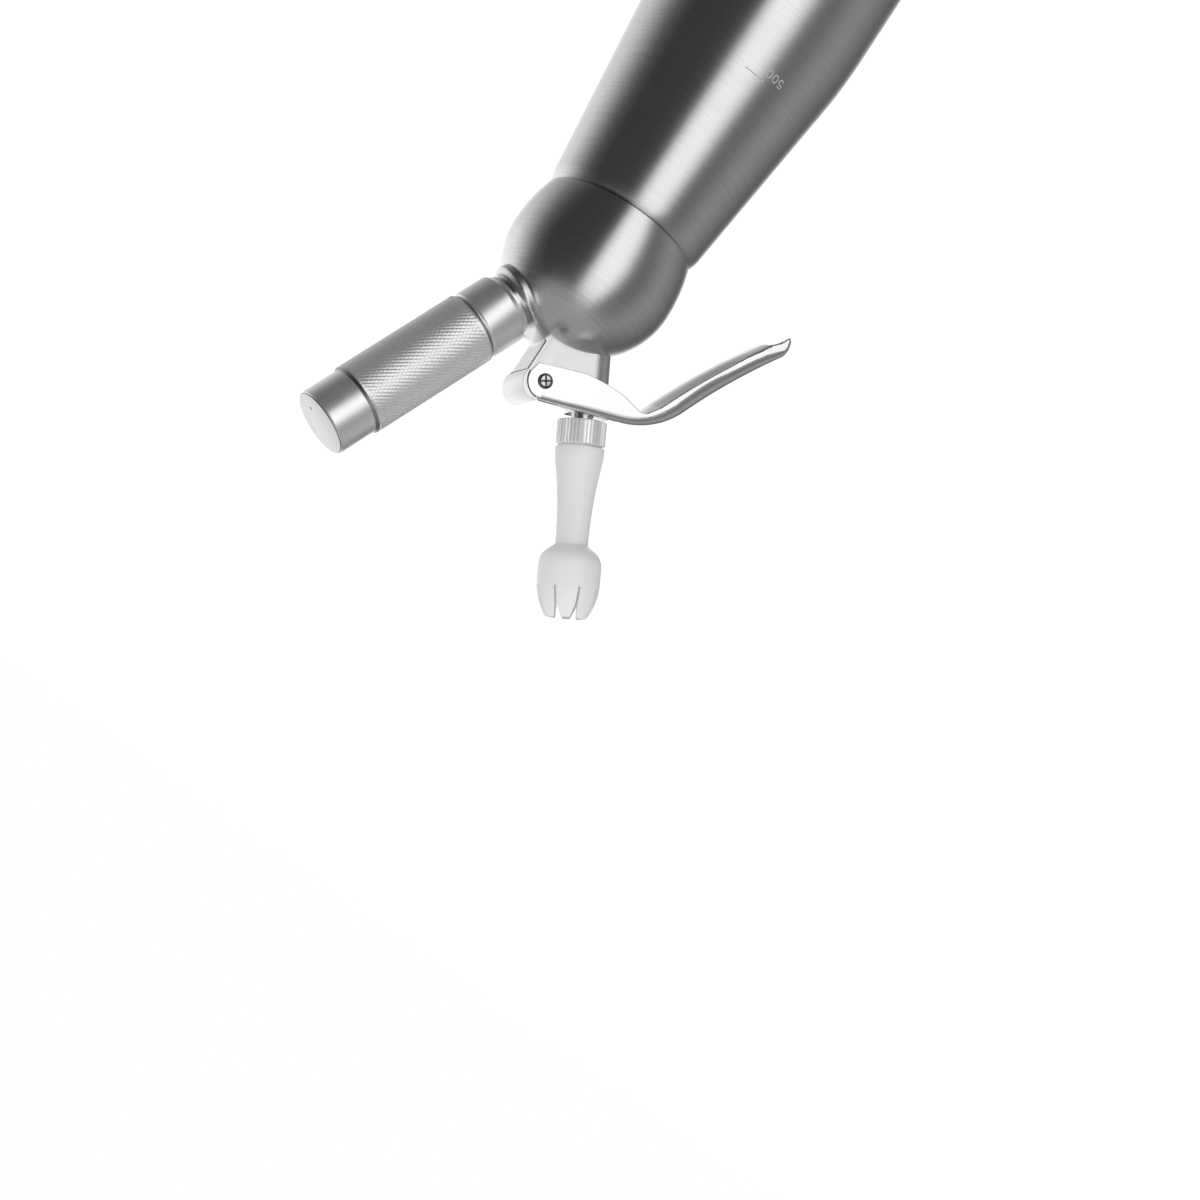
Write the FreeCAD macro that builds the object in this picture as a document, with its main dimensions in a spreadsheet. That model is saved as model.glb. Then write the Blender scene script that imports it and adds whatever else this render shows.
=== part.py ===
import FreeCAD, Part
import math
import os
import re
import Sketcher

# Whipped cream dispenser: a steel bottle, a domed screw-on head, a tilted dispensing valve with
# its lever and decorator tip, and a knurled holder with an 8 g gas charger.
# Frame: the bottle stands upright on its base, +Z is the bottle's axis, +X leans towards the
# charger holder and -X towards the nozzle and the lever's handle. Y = 0 is the plane of symmetry.
# All sizes are in millimetres, all angles in degrees.

SIZES = {
    # Bottle: straight lower part, taper to the shoulder, threaded neck inside the head.
    "bottle_height": 170.0,
    "bottle_radius": 40.0,
    "bottle_wall": 1.0,
    "base_corner_radius": 4.0,
    "straight_height": 78.0,
    "taper_blend_radius": 180.0,
    "shoulder_height": 166.6,
    "shoulder_radius": 29.9,
    "shoulder_round": 4.2,
    "seam_radius": 28.2,
    "neck_radius": 25.0,
    "neck_wall": 1.8,
    "neck_length": 12.0,
    "screw_clearance": 0.06,
    # Head: a drawn dome with a threaded collar inside and a flat gasket on the neck.
    "dome_radius": 31.9,
    "dome_centre_height": 188.0,
    "dome_wall": 1.2,
    "rim_radius": 29.4,
    "rim_gap": 0.6,
    "collar_gap": 0.05,
    "collar_recess": 0.6,
    "gasket_thickness": 2.0,
    "gasket_bore_radius": 21.2,
    "gasket_rim_gap": 0.3,
    "ledge_bore_radius": 20.6,
    "ledge_thickness": 3.0,
    # Axes of the dispensing valve and of the charger holder, both in the plane Y = 0.
    "nozzle_root": 184.6,
    "nozzle_tilt": 29.08,
    "charger_root": 175.2,
    "charger_tilt": 22.94,
    # Valve body: a casting that saddles the dome and carries the valve, lever and holder.
    "casting_half_width": 8.2,
    "valve_boss_top": 49.6,
    "saddle_thickness": 2.4,
    "saddle_flange_radius": 12.6,
    "saddle_waist": 16.0,
    "saddle_taper_start": 3.7,
    "saddle_reach": 30.0,
    "saddle_fit": 0.02,
    "inlet_boss_radius": 10.6,
    "inlet_boss_top": 44.0,
    "nose_reach": 7.3,
    "nose_rise": 2.0,
    "nose_radius": 6.0,
    "nose_top_angle": 22.5,
    "nose_seat_gap": 0.3,
    "nose_seat_end": 98.0,
    "web_stop": 21.8,
    "spring_chamber_radius": 6.5,
    "spring_chamber_floor": 44.0,
    "seat_clearance": 1.3,
    # Lever and its pivot. Places on the lever are measured from the pivot, along its straight
    # back (positive towards the charger holder) and square to it (positive outwards).
    "pivot_x": -5.85,
    "pivot_height": 234.0,
    "lever_slope": 22.5,
    "lever_metal": 1.8,
    "lever_side_gap": 0.35,
    "lever_back": 7.1,
    "lever_front": 1.6,
    "cheek_end_radius": 6.25,
    "cheek_corner": 3.4,
    "cheek_corner_depth": 5.95,
    "cheek_arc_start": 5.3,
    "cheek_edge_start": 14.0,
    "cheek_edge_depth": 6.4,
    "cheek_edge_round": 70.0,
    "cheek_rise_start": 30.0,
    "cheek_rise_depth": 2.3,
    "heel_start": 35.8,
    "heel_end": 39.2,
    "heel_rise": 1.15,
    "heel_round": 2.6,
    "channel_end": 32.5,
    "channel_corner_round": 2.5,
    "bend_start": 31.0,
    "bend_radius": 33.0,
    "bend_angle": 45.5,
    "handle_radius": 271.0,
    "handle_angle": 9.0,
    "handle_inner_radius": 300.0,
    "handle_inner_end": 80.1,
    "handle_inner_depth": 34.4,
    "tip_corner": 88.5,
    "tip_corner_depth": 35.4,
    "tip_lip": 87.5,
    "tip_lip_depth": 38.1,
    "tip_outer_round": 7.0,
    "tip_end_round": 2.4,
    "tip_hook_round": 14.0,
    "slot_half_width": 4.2,
    "slot_half_length": 6.2,
    "pad_radius": 1.2,
    "pad_gap": 0.3,
    "pad_half_length": 5.9,
    "pivot_radius": 2.0,
    "pivot_clearance": 0.05,
    "pivot_head_radius": 3.0,
    "pivot_head_height": 0.8,
    "pivot_head_edge": 0.35,
    "pivot_thread_radius": 1.3,
    "pivot_thread_length": 8.0,
    "cross_length": 3.4,
    "cross_width": 0.8,
    "cross_depth": 0.45,
    # Dispensing valve on the nozzle axis, heights measured outwards from the nozzle root.
    "valve_seat": 26.6,
    "bush_radius": 6.0,
    "bush_flange_radius": 9.0,
    "bush_flange_bottom": 28.9,
    "bush_flange_thickness": 1.7,
    "bush_washer_thickness": 1.0,
    "bush_washer_radius": 8.8,
    "fit_gap": 0.05,
    "spindle_radius": 3.05,
    "spindle_bore_radius": 1.5,
    "spindle_head_radius": 5.5,
    "spindle_head_thickness": 2.3,
    "spindle_seal_radius": 5.3,
    "spindle_seal_thickness": 2.7,
    "seal_gap": 0.1,
    "spindle_port_radius": 1.1,
    "spindle_port_height": 28.4,
    "spindle_top": 56.0,
    "ring_groove_height": 37.0,
    "ring_groove_radius": 2.2,
    "ring_groove_width": 1.1,
    "ring_section_radius": 0.42,
    "stud_flange_radius": 6.2,
    "stud_flange_bottom": 49.9,
    "stud_flange_thickness": 2.0,
    "stud_radius": 3.7,
    "stud_top": 64.0,
    "stud_bore_radius": 2.0,
    "spring_radius": 4.8,
    "spring_wire_radius": 0.35,
    "spring_turns": 3.5,
    "spring_end_gap": 0.1,
    # Tip adapter and decorator tip.
    "adapter_bottom": 56.7,
    "adapter_radius": 8.78,
    "adapter_height": 8.8,
    "adapter_edge": 0.4,
    "adapter_floor": 1.2,
    "adapter_passage_radius": 2.4,
    "adapter_spigot_radius": 6.0,
    "adapter_spigot_height": 6.0,
    "adapter_spigot_bore_radius": 4.6,
    "rib_count": 44,
    "rib_depth": 0.32,
    "rib_half_width": 0.3,
    "tip_washer_thickness": 0.8,
    "tip_washer_radius": 7.6,
    "tip_foot_radius": 8.7,
    "tip_wall": 1.3,
    "tip_socket_depth": 6.4,
    "tip_shoulder_rise": 4.1,
    "tip_shoulder_radius": 8.5,
    "tip_waist_round": 160.0,
    "tip_neck_rise": 30.2,
    "tip_neck_radius": 5.8,
    "tip_neck_length": 3.9,
    "tip_flare_rise": 36.5,
    "tip_flare_radius": 8.9,
    "tip_flare_offset": 1.0,
    "tip_bulb_radius": 11.1,
    "tip_bulb_low_rise": 42.2,
    "tip_bulb_high_rise": 47.1,
    "tip_bulb_round": 7.0,
    "tip_petal_round": 22.0,
    "tip_length": 59.7,
    "tip_mouth_radius": 7.2,
    "tip_slit_count": 8,
    "tip_slit_length": 10.5,
    "tip_slit_half_width": 0.4,
    "tip_notch_length": 4.6,
    "tip_notch_half_width": 1.7,
    # Charger holder, charger and gas inlet, heights measured outwards from the charger root.
    "spigot_collar_radius": 10.1,
    "spigot_collar_height": 1.6,
    "spigot_thread_radius": 9.45,
    "spigot_top": 58.0,
    "spigot_recess_radius": 4.75,
    "spigot_recess_floor": 50.4,
    "spigot_shank_radius": 6.4,
    "spigot_shank_bottom": 35.5,
    "spigot_channel_radius": 2.0,
    "pin_body_radius": 3.0,
    "pin_body_length": 5.0,
    "pin_radius": 1.0,
    "pin_reach": 3.0,
    "pin_point": 0.7,
    "pin_bore_radius": 0.4,
    "pin_gasket_thickness": 1.5,
    "pin_gasket_radius": 4.5,
    "pin_gap": 0.3,
    "inlet_nut_radius": 9.0,
    "inlet_nut_thickness": 3.0,
    "inlet_nut_top": 38.6,
    "check_valve_radius": 2.95,
    "check_valve_length": 4.0,
    "check_valve_bore_radius": 1.0,
    "check_valve_pocket_radius": 3.0,
    "holder_gap": 0.1,
    "holder_mouth_radius": 11.2,
    "holder_mouth_chamfer": 2.1,
    "holder_band_radius": 12.68,
    "holder_band_top": 60.4,
    "holder_groove_radius": 12.2,
    "holder_groove_height": 0.8,
    "holder_bevel": 1.2,
    "holder_knurl_radius": 13.27,
    "holder_knurl_top": 110.8,
    "holder_end_radius": 12.27,
    "holder_end_bevel": 2.0,
    "holder_end_edge": 0.6,
    "holder_top": 126.4,
    "holder_thread_depth": 1.2,
    "holder_bore_radius": 9.35,
    "vent_radius": 0.65,
    "vent_offset": 6.0,
    "charger_radius": 9.0,
    "charger_mouth": 52.0,
    "charger_length": 65.6,
    "charger_neck_radius": 4.35,
    "charger_neck_length": 7.0,
    "charger_shoulder_length": 7.5,
    "charger_wall": 1.2,
    "charger_nose_round": 0.7,
}

# Sizes that follow from the ones above.
DERIVED = {
    "taper_angle": "atan((bottle_radius - shoulder_radius) / (shoulder_height - straight_height))",
    "taper_tangent": "taper_blend_radius * tan(taper_angle / 2)",
    "neck_bore_radius": "neck_radius - neck_wall",
    "neck_top": "bottle_height + neck_length",
    "shelf_height": "bottle_height - 1.8 * bottle_wall",
    "ledge_height": "neck_top + gasket_thickness",
    "collar_top": "ledge_height + ledge_thickness",
    "rim_height": "bottle_height + rim_gap",
    "flare_drop": "dome_centre_height - rim_height",
    "flare_step": "dome_radius - rim_radius",
    "flare_radius": "(flare_drop^2 + flare_step^2) / (2 * flare_step)",
    "flare_centre": "dome_radius - flare_radius",
    "inner_flare_radius": "flare_radius - dome_wall",
    "collar_flare_radius": "inner_flare_radius - collar_gap",
    "collar_bottom": "rim_height + collar_recess",
    "dome_top": "dome_centre_height + dome_radius",
    "dome_bore_radius": "dome_radius - dome_wall",
    "saddle_radius": "dome_radius + saddle_thickness",
    "saddle_bore_radius": "dome_radius + saddle_fit",
    "nose_x": "pivot_x + nose_reach",
    "nose_height": "pivot_height + nose_rise",
    "nose_top_x": "nose_x - nose_radius - nose_radius * sin(nose_top_angle)",
    "nose_top_height": "nose_height + nose_radius * cos(nose_top_angle)",
    "nose_seat_radius": "cheek_end_radius + nose_seat_gap",
    "lever_half_gap": "casting_half_width + lever_side_gap",
    "lever_half_width": "lever_half_gap + lever_metal",
    "web_underside": "lever_back - lever_metal",
    "bend_end": "bend_start + bend_radius * sin(bend_angle)",
    "bend_end_rise": "lever_back - bend_radius * (1 - cos(bend_angle))",
    "handle_heading": "bend_angle - handle_angle",
    "handle_end": "bend_end + handle_radius * (sin(bend_angle) - sin(handle_heading))",
    "handle_end_rise": "bend_end_rise + handle_radius * (cos(bend_angle) - cos(handle_heading))",
    "bush_hole_radius": "bush_radius + fit_gap",
    "bush_bore_radius": "spindle_radius + fit_gap",
    "bush_flange_top": "bush_flange_bottom + bush_flange_thickness",
    "spindle_head_top": "valve_seat - spindle_seal_thickness - seal_gap",
    "spindle_head_bottom": "spindle_head_top - spindle_head_thickness",
    "spindle_blind_end": "spindle_port_height - 1.2 * spindle_port_radius",
    "stud_flange_top": "stud_flange_bottom + stud_flange_thickness",
    "pad_height": "stud_flange_top + pad_gap + pad_radius",
    "spring_height": "stud_flange_bottom - spring_chamber_floor - 2 * spring_end_gap",
    "adapter_top": "adapter_bottom + adapter_height",
    "adapter_floor_bottom": "stud_top + fit_gap",
    "adapter_spigot_top": "adapter_top + adapter_spigot_height",
    "tip_base": "adapter_top + tip_washer_thickness",
    "tip_socket_radius": "adapter_spigot_radius + screw_clearance",
    "spigot_collar_top": "inlet_boss_top + spigot_collar_height",
    "shank_hole_radius": "spigot_shank_radius + fit_gap",
    "seat_radius": "saddle_flange_radius + seat_clearance",
    "pin_body_bottom": "spigot_recess_floor - pin_body_length",
    "pin_top": "spigot_recess_floor + pin_reach",
    "cap_hole_radius": "pin_radius + pin_gap",
    "check_pocket_top": "spigot_shank_bottom + check_valve_length + seal_gap",
    "charger_tail": "charger_mouth + charger_length",
    "charger_bore_radius": "charger_radius - charger_wall",
    "charger_throat_radius": "charger_neck_radius - charger_wall",
    "charger_shoulder": "charger_mouth + charger_neck_length",
    "holder_bottom": "spigot_collar_top + holder_gap",
    "holder_thread_radius": "spigot_thread_radius + screw_clearance",
    "holder_thread_top": "spigot_top + holder_thread_depth",
    "holder_floor": "charger_tail + holder_gap",
    "knurl_bottom": "holder_band_top + holder_groove_height + holder_bevel",
    "end_band_bottom": "holder_knurl_top + holder_end_bevel",
}

# Frames of the sketches and bodies: the axis each is turned about, its origin and its turn.
FRAMES = {
    "bottle": None,
    "nozzle": (FreeCAD.Vector(0, -1, 0), "0", "nozzle_root", "nozzle_tilt"),
    "charger": (FreeCAD.Vector(0, 1, 0), "0", "charger_root", "charger_tilt"),
    "lever": (FreeCAD.Vector(0, -1, 0), "pivot_x", "pivot_height", "lever_slope"),
    "pivot": (FreeCAD.Vector(1, 0, 0), "pivot_x", "pivot_height", "90"),
}

doc = FreeCAD.newDocument("cream_dispenser")
sheet = doc.addObject("Spreadsheet::Sheet", "Sizes")


def fill_sheet():
    rows = [(name, str(value)) for name, value in SIZES.items()]
    rows += [(name, "=" + formula) for name, formula in DERIVED.items()]
    for row, (name, content) in enumerate(rows, start=1):
        sheet.set(f"A{row}", name)
        sheet.set(f"B{row}", content)
        sheet.setAlias(f"B{row}", name)
    doc.recompute()


def linked(formula):
    """The formula with every size name pointing at its cell of the sheet."""
    return re.sub(r"[a-z]+(?:_[a-z]+)+", lambda word: "Sizes." + word.group(0), formula)


def number(formula):
    result = sheet.evalExpression(linked(formula))
    return float(getattr(result, "Value", result))


def bind(item, setting, formula):
    item.setExpression(setting, linked(formula))


def origin_item(body, role):
    return next(item for item in body.Origin.OriginFeatures if item.Role == role)


def new_body(name, frame="bottle"):
    """A body whose own upright axis is the frame's axis."""
    body = doc.addObject("PartDesign::Body", name)
    body.Label = name
    if FRAMES[frame]:
        axis, across, root, turn = FRAMES[frame]
        origin = FreeCAD.Vector(number(across), 0, number(root))
        body.Placement = FreeCAD.Placement(origin, FreeCAD.Rotation(axis, number(turn)))
        bind(body, "Placement.Base.x", across)
        bind(body, "Placement.Base.z", root)
        bind(body, "Placement.Rotation.Angle", turn)
    return body


def new_sketch(body, name, plane="XZ_Plane", frame="bottle", lift="0"):
    """An empty sketch in the plane of symmetry, set in a frame, or square to a frame's axis."""
    sketch = body.newObject("Sketcher::SketchObject", name)
    sketch.AttachmentSupport = [(origin_item(body, plane), "")]
    sketch.MapMode = "FlatFace"
    if lift != "0":
        bind(sketch, "AttachmentOffset.Base.z", lift)
    if FRAMES[frame]:
        axis, across, root, turn = FRAMES[frame]
        flat = plane == "XZ_Plane"
        origin = FreeCAD.Vector(number(across), 0, number(root))
        if flat:
            origin = FreeCAD.Vector(number(across), number(root), 0)
            axis = FreeCAD.Vector(0, 0, -axis.y)
        turned = FreeCAD.Rotation(axis, number(turn))
        sketch.AttachmentOffset = FreeCAD.Placement(origin, turned)
        bind(sketch, "AttachmentOffset.Base.x", across)
        bind(sketch, "AttachmentOffset.Base.y" if flat else "AttachmentOffset.Base.z", root)
        bind(sketch, "AttachmentOffset.Rotation.Angle", turn)
    return sketch


def arc_geometry(start, end, radius, side):
    middle = (start + end) * 0.5
    chord = end - start
    left = FreeCAD.Vector(-chord.y, chord.x, 0).normalize()
    rise = math.sqrt(max(radius ** 2 - (chord.Length / 2) ** 2, 0.0))
    centre = middle + left * (rise if side == "left" else -rise)
    first, last = (start, end) if side == "left" else (end, start)
    circle = Part.Circle(centre, FreeCAD.Vector(0, 0, 1), radius)
    return Part.ArcOfCircle(circle, circle.parameter(first), circle.parameter(last))


def draw(sketch, corners):
    """A closed outline. A corner is (across, up), or (across, up, radius, side) when an arc
    that turns to that side leads up to it. Every place and radius is a formula."""
    places = [FreeCAD.Vector(number(corner[0]), number(corner[1]), 0) for corner in corners]
    ends = []
    for index, corner in enumerate(corners):
        start, end = places[index - 1], places[index]
        if len(corner) == 2:
            edge = sketch.addGeometry(Part.LineSegment(start, end))
            ends.append((edge, 1, 2))
        else:
            edge = sketch.addGeometry(arc_geometry(start, end, number(corner[2]), corner[3]))
            ends.append((edge, 1, 2) if corner[3] == "left" else (edge, 2, 1))
    for index, corner in enumerate(corners):
        edge, first, last = ends[index]
        following, following_first, _ = ends[(index + 1) % len(ends)]
        join = Sketcher.Constraint("Coincident", edge, last, following, following_first)
        sketch.addConstraint(join)
        pin(sketch, "DistanceX", edge, last, corner[0])
        pin(sketch, "DistanceY", edge, last, corner[1])
        if len(corner) == 4:
            size = sketch.addConstraint(Sketcher.Constraint("Radius", edge, number(corner[2])))
            bind(sketch, f"Constraints[{size}]", corner[2])
    return sketch


def pin(sketch, kind, edge, point, formula):
    place = Sketcher.Constraint(kind, -1, 1, edge, point, number(formula))
    bind(sketch, f"Constraints[{sketch.addConstraint(place)}]", formula)


def draw_circle(sketch, across, up, radius):
    centre = FreeCAD.Vector(number(across), number(up), 0)
    circle = Part.Circle(centre, FreeCAD.Vector(0, 0, 1), number(radius))
    edge = sketch.addGeometry(circle)
    pin(sketch, "DistanceX", edge, 3, across)
    pin(sketch, "DistanceY", edge, 3, up)
    size = sketch.addConstraint(Sketcher.Constraint("Radius", edge, number(radius)))
    bind(sketch, f"Constraints[{size}]", radius)
    return sketch


def revolve(body, sketch, kind="Revolution"):
    """A full turn of the sketch about its own upright axis."""
    feature = body.newObject("PartDesign::" + kind, sketch.Name + "_turn")
    feature.Profile = sketch
    feature.ReferenceAxis = (sketch, ["V_Axis"])
    feature.Angle = 360
    doc.recompute()
    return feature


def turned_part(name, frame, corners):
    body = new_body(name, frame)
    revolve(body, draw(new_sketch(body, name + "_outline"), corners))
    return body


def ring(name, frame, inner, outer, low, high):
    return turned_part(name, frame, [(inner, low), (outer, low), (outer, high), (inner, high)])


def bore(body, name, frame, radius, low, high):
    """A round hole about one of the frames' axes."""
    corners = [("0", low), (radius, low), (radius, high), ("0", high)]
    revolve(body, draw(new_sketch(body, name, frame=frame), corners), "Groove")


def pad(body, sketch, length, reach="Symmetric"):
    feature = body.newObject("PartDesign::Pad", sketch.Name + "_pad")
    feature.Profile = sketch
    feature.SideType = reach
    bind(feature, "Length", length)
    doc.recompute()
    return feature


def pocket(body, sketch, length, reach="Symmetric"):
    before = body.Shape.Volume
    feature = body.newObject("PartDesign::Pocket", sketch.Name + "_pocket")
    feature.Profile = sketch
    feature.SideType = reach
    bind(feature, "Length", length)
    doc.recompute()
    if body.Shape.Volume >= before:
        feature.Reversed = True
        doc.recompute()
    return feature


def repeat(body, feature, axis, count):
    """Copies of a feature around an axis."""
    pattern = body.newObject("PartDesign::PolarPattern", feature.Name + "_set")
    pattern.Originals = [feature]
    pattern.Axis = axis
    pattern.Angle = 360
    bind(pattern, "Occurrences", count)
    body.Tip = pattern
    doc.recompute()
    return pattern


# Bottle

def bottle():
    low_blend = "straight_height - taper_tangent"
    high_blend = "straight_height + taper_tangent * cos(taper_angle)"
    inset = "taper_tangent * sin(taper_angle)"
    turned_part("bottle", "bottle", [
        ("0", "0"),
        ("bottle_radius - base_corner_radius", "0"),
        ("bottle_radius", "base_corner_radius", "base_corner_radius", "left"),
        ("bottle_radius", low_blend),
        (f"bottle_radius - {inset}", high_blend, "taper_blend_radius", "left"),
        ("shoulder_radius", "shoulder_height"),
        ("seam_radius", "bottle_height", "shoulder_round", "left"),
        ("neck_radius", "bottle_height"),
        ("neck_radius", "neck_top"),
        ("neck_bore_radius", "neck_top"),
        ("neck_bore_radius", "shelf_height"),
        ("seam_radius - 1.8 * bottle_wall", "shelf_height"),
        ("shoulder_radius - bottle_wall", "shoulder_height - 1.8 * bottle_wall"),
        (f"bottle_radius - bottle_wall - {inset}", high_blend),
        ("bottle_radius - bottle_wall", low_blend, "taper_blend_radius - bottle_wall", "right"),
        ("bottle_radius - bottle_wall", "base_corner_radius"),
        ("bottle_radius - base_corner_radius", "bottle_wall",
         "base_corner_radius - bottle_wall", "right"),
        ("0", "bottle_wall"),
    ])


# Head

def head_shell():
    body = turned_part("head_shell", "bottle", [
        ("rim_radius", "rim_height"),
        ("dome_radius", "dome_centre_height", "flare_radius", "left"),
        ("0", "dome_top", "dome_radius", "left"),
        ("0", "dome_top - dome_wall"),
        ("dome_bore_radius", "dome_centre_height", "dome_bore_radius", "right"),
        ("rim_radius - dome_wall", "rim_height", "inner_flare_radius", "right"),
    ])
    bore(body, "nozzle_hole", "nozzle", "bush_hole_radius", "valve_seat", "valve_boss_top")
    bore(body, "inlet_hole", "charger", "shank_hole_radius", "spigot_shank_bottom", "spigot_top")


def thread_collar():
    reach = "flare_centre + sqrt(collar_flare_radius^2 - (dome_centre_height - {0})^2)"
    turned_part("thread_collar", "bottle", [
        (reach.format("collar_bottom"), "collar_bottom"),
        (reach.format("collar_top"), "collar_top", "collar_flare_radius", "left"),
        ("ledge_bore_radius", "collar_top"),
        ("ledge_bore_radius", "ledge_height"),
        ("neck_radius + screw_clearance", "ledge_height"),
        ("neck_radius + screw_clearance", "collar_bottom"),
    ])


# Valve body

def drum(body, name, frame, radius, low, high):
    """A solid cylinder about one of the frames' axes."""
    corners = [("0", low), (radius, low), (radius, high), ("0", high)]
    revolve(body, draw(new_sketch(body, name, frame=frame), corners))


def saddle(body):
    """The foot that hugs the dome: a round flange under the holder, narrowing to the valve."""
    cap = draw(new_sketch(body, "saddle_cap"), [
        ("0", "dome_centre_height"), ("saddle_radius", "dome_centre_height"),
        ("0", "dome_centre_height + saddle_radius", "saddle_radius", "left"),
    ])
    revolve(body, cap)
    tangent = "sqrt(saddle_flange_radius^2 - saddle_taper_start^2)"
    around = new_sketch(body, "saddle_edge", "XY_Plane", "charger")
    draw(around, [
        ("-2 * saddle_radius", "-2 * saddle_radius"), ("2 * saddle_radius", "-2 * saddle_radius"),
        ("2 * saddle_radius", "2 * saddle_radius"), ("-2 * saddle_radius", "2 * saddle_radius"),
    ])
    draw(around, [
        ("-saddle_reach", "-casting_half_width"),
        ("-saddle_waist", "-casting_half_width"),
        ("-saddle_taper_start", "-" + tangent),
        ("saddle_flange_radius", "0", "saddle_flange_radius", "left"),
        ("-saddle_taper_start", tangent, "saddle_flange_radius", "left"),
        ("-saddle_waist", "casting_half_width"),
        ("-saddle_reach", "casting_half_width"),
    ])
    pocket(body, around, "8 * saddle_radius")


def valve_lug(body):
    """The block between the lever's cheeks, with the rounded nose in front of the pivot."""
    reach = "{0} * sin(nozzle_tilt)"
    rise = "nozzle_root + {0} * cos(nozzle_tilt)"
    lug = draw(new_sketch(body, "valve_lug"), [
        ("-" + reach.format("valve_seat"), rise.format("valve_seat")),
        ("nose_x", rise.format("valve_seat")),
        ("nose_x", "nose_height"),
        ("nose_top_x", "nose_top_height", "nose_radius", "left"),
        ("-" + reach.format("stud_flange_top"), rise.format("stud_flange_top")),
    ])
    pad(body, lug, "2 * casting_half_width")


def nose_cheeks(body):
    """The nose is as wide as the lever, with a round seat in front of each of its cheeks."""
    outline = draw(new_sketch(body, "nose_cheeks"), [
        ("pivot_x + nose_seat_radius", "pivot_height", "nose_seat_radius", "right"),
        ("nose_x", "pivot_height"),
        ("nose_x", "nose_height"),
        ("nose_top_x", "nose_top_height", "nose_radius", "left"),
        ("pivot_x + nose_seat_radius * cos(nose_seat_end)",
         "pivot_height + nose_seat_radius * sin(nose_seat_end)"),
    ])
    pad(body, outline, "2 * lever_half_width")


def valve_body():
    body = new_body("valve_body")
    saddle(body)
    valve_lug(body)
    nose_cheeks(body)
    boss = draw(new_sketch(body, "valve_boss", "XY_Plane", "nozzle"), [
        ("0", "casting_half_width"),
        ("-casting_half_width", "0", "casting_half_width", "left"),
        ("0", "-casting_half_width", "casting_half_width", "left"),
    ])
    pad(body, boss, "valve_boss_top", "One side")
    drum(body, "inlet_boss", "charger", "inlet_boss_radius",
         "spigot_shank_bottom", "inlet_boss_top")
    hollow = draw(new_sketch(body, "dome_hollow"), [
        ("0", "bottle_height"),
        ("saddle_bore_radius", "bottle_height"),
        ("saddle_bore_radius", "dome_centre_height"),
        ("0", "dome_centre_height + saddle_bore_radius", "saddle_bore_radius", "left"),
    ])
    revolve(body, hollow, "Groove")
    recess = draw(new_sketch(body, "lever_recess", frame="nozzle"), [
        ("-2 * casting_half_width", "valve_boss_top"),
        ("web_stop", "valve_boss_top"),
        ("web_stop", "valve_boss_top + casting_half_width"),
        ("-2 * casting_half_width", "valve_boss_top + casting_half_width"),
    ])
    pocket(body, recess, "3 * casting_half_width")
    bore(body, "holder_seat", "charger", "seat_radius", "inlet_boss_top", "spigot_top")
    bore(body, "shank_bore", "charger", "shank_hole_radius", "spigot_shank_bottom", "spigot_top")
    bore(body, "bush_bore", "nozzle", "bush_hole_radius", "valve_seat", "valve_boss_top")
    bore(body, "spring_chamber", "nozzle", "spring_chamber_radius",
         "spring_chamber_floor", "valve_boss_top + casting_half_width")
    hole = draw_circle(new_sketch(body, "pivot_hole"), "pivot_x", "pivot_height",
                       "pivot_radius + fit_gap")
    pocket(body, hole, "3 * casting_half_width")


def pivot_screw():
    body = turned_part("pivot_screw", "pivot", [
        ("0", "-pivot_thread_length"),
        ("pivot_thread_radius", "-pivot_thread_length"),
        ("pivot_thread_radius", "0"),
        ("pivot_radius", "0"),
        ("pivot_radius", "lever_half_width + fit_gap"),
        ("pivot_head_radius", "lever_half_width + fit_gap"),
        ("pivot_head_radius", "lever_half_width + pivot_head_height - pivot_head_edge"),
        ("pivot_head_radius - pivot_head_edge", "lever_half_width + pivot_head_height",
         "pivot_head_edge", "left"),
        ("0", "lever_half_width + pivot_head_height"),
    ])
    for name, across, along in (("cross_a", "cross_length", "cross_width"),
                                ("cross_b", "cross_width", "cross_length")):
        slot = draw(new_sketch(body, name, "XY_Plane",
                               lift="lever_half_width + pivot_head_height"), [
            (f"-{across} / 2", f"-{along} / 2"), (f"{across} / 2", f"-{along} / 2"),
            (f"{across} / 2", f"{along} / 2"), (f"-{across} / 2", f"{along} / 2"),
        ])
        pocket(body, slot, "cross_depth", "One side")


def pivot_nut():
    turned_part("pivot_nut", "pivot", [
        ("pivot_thread_radius", "-fit_gap"),
        ("pivot_thread_radius", "-pivot_thread_length - fit_gap"),
        ("0", "-pivot_thread_length - fit_gap"),
        ("0", "-lever_half_width - pivot_head_height"),
        ("pivot_head_radius - pivot_head_edge", "-lever_half_width - pivot_head_height"),
        ("pivot_head_radius", "-lever_half_width - pivot_head_height + pivot_head_edge",
         "pivot_head_edge", "left"),
        ("pivot_head_radius", "-lever_half_width - fit_gap"),
        ("pivot_radius", "-lever_half_width - fit_gap"),
        ("pivot_radius", "-fit_gap"),
    ])


# Lever

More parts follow.
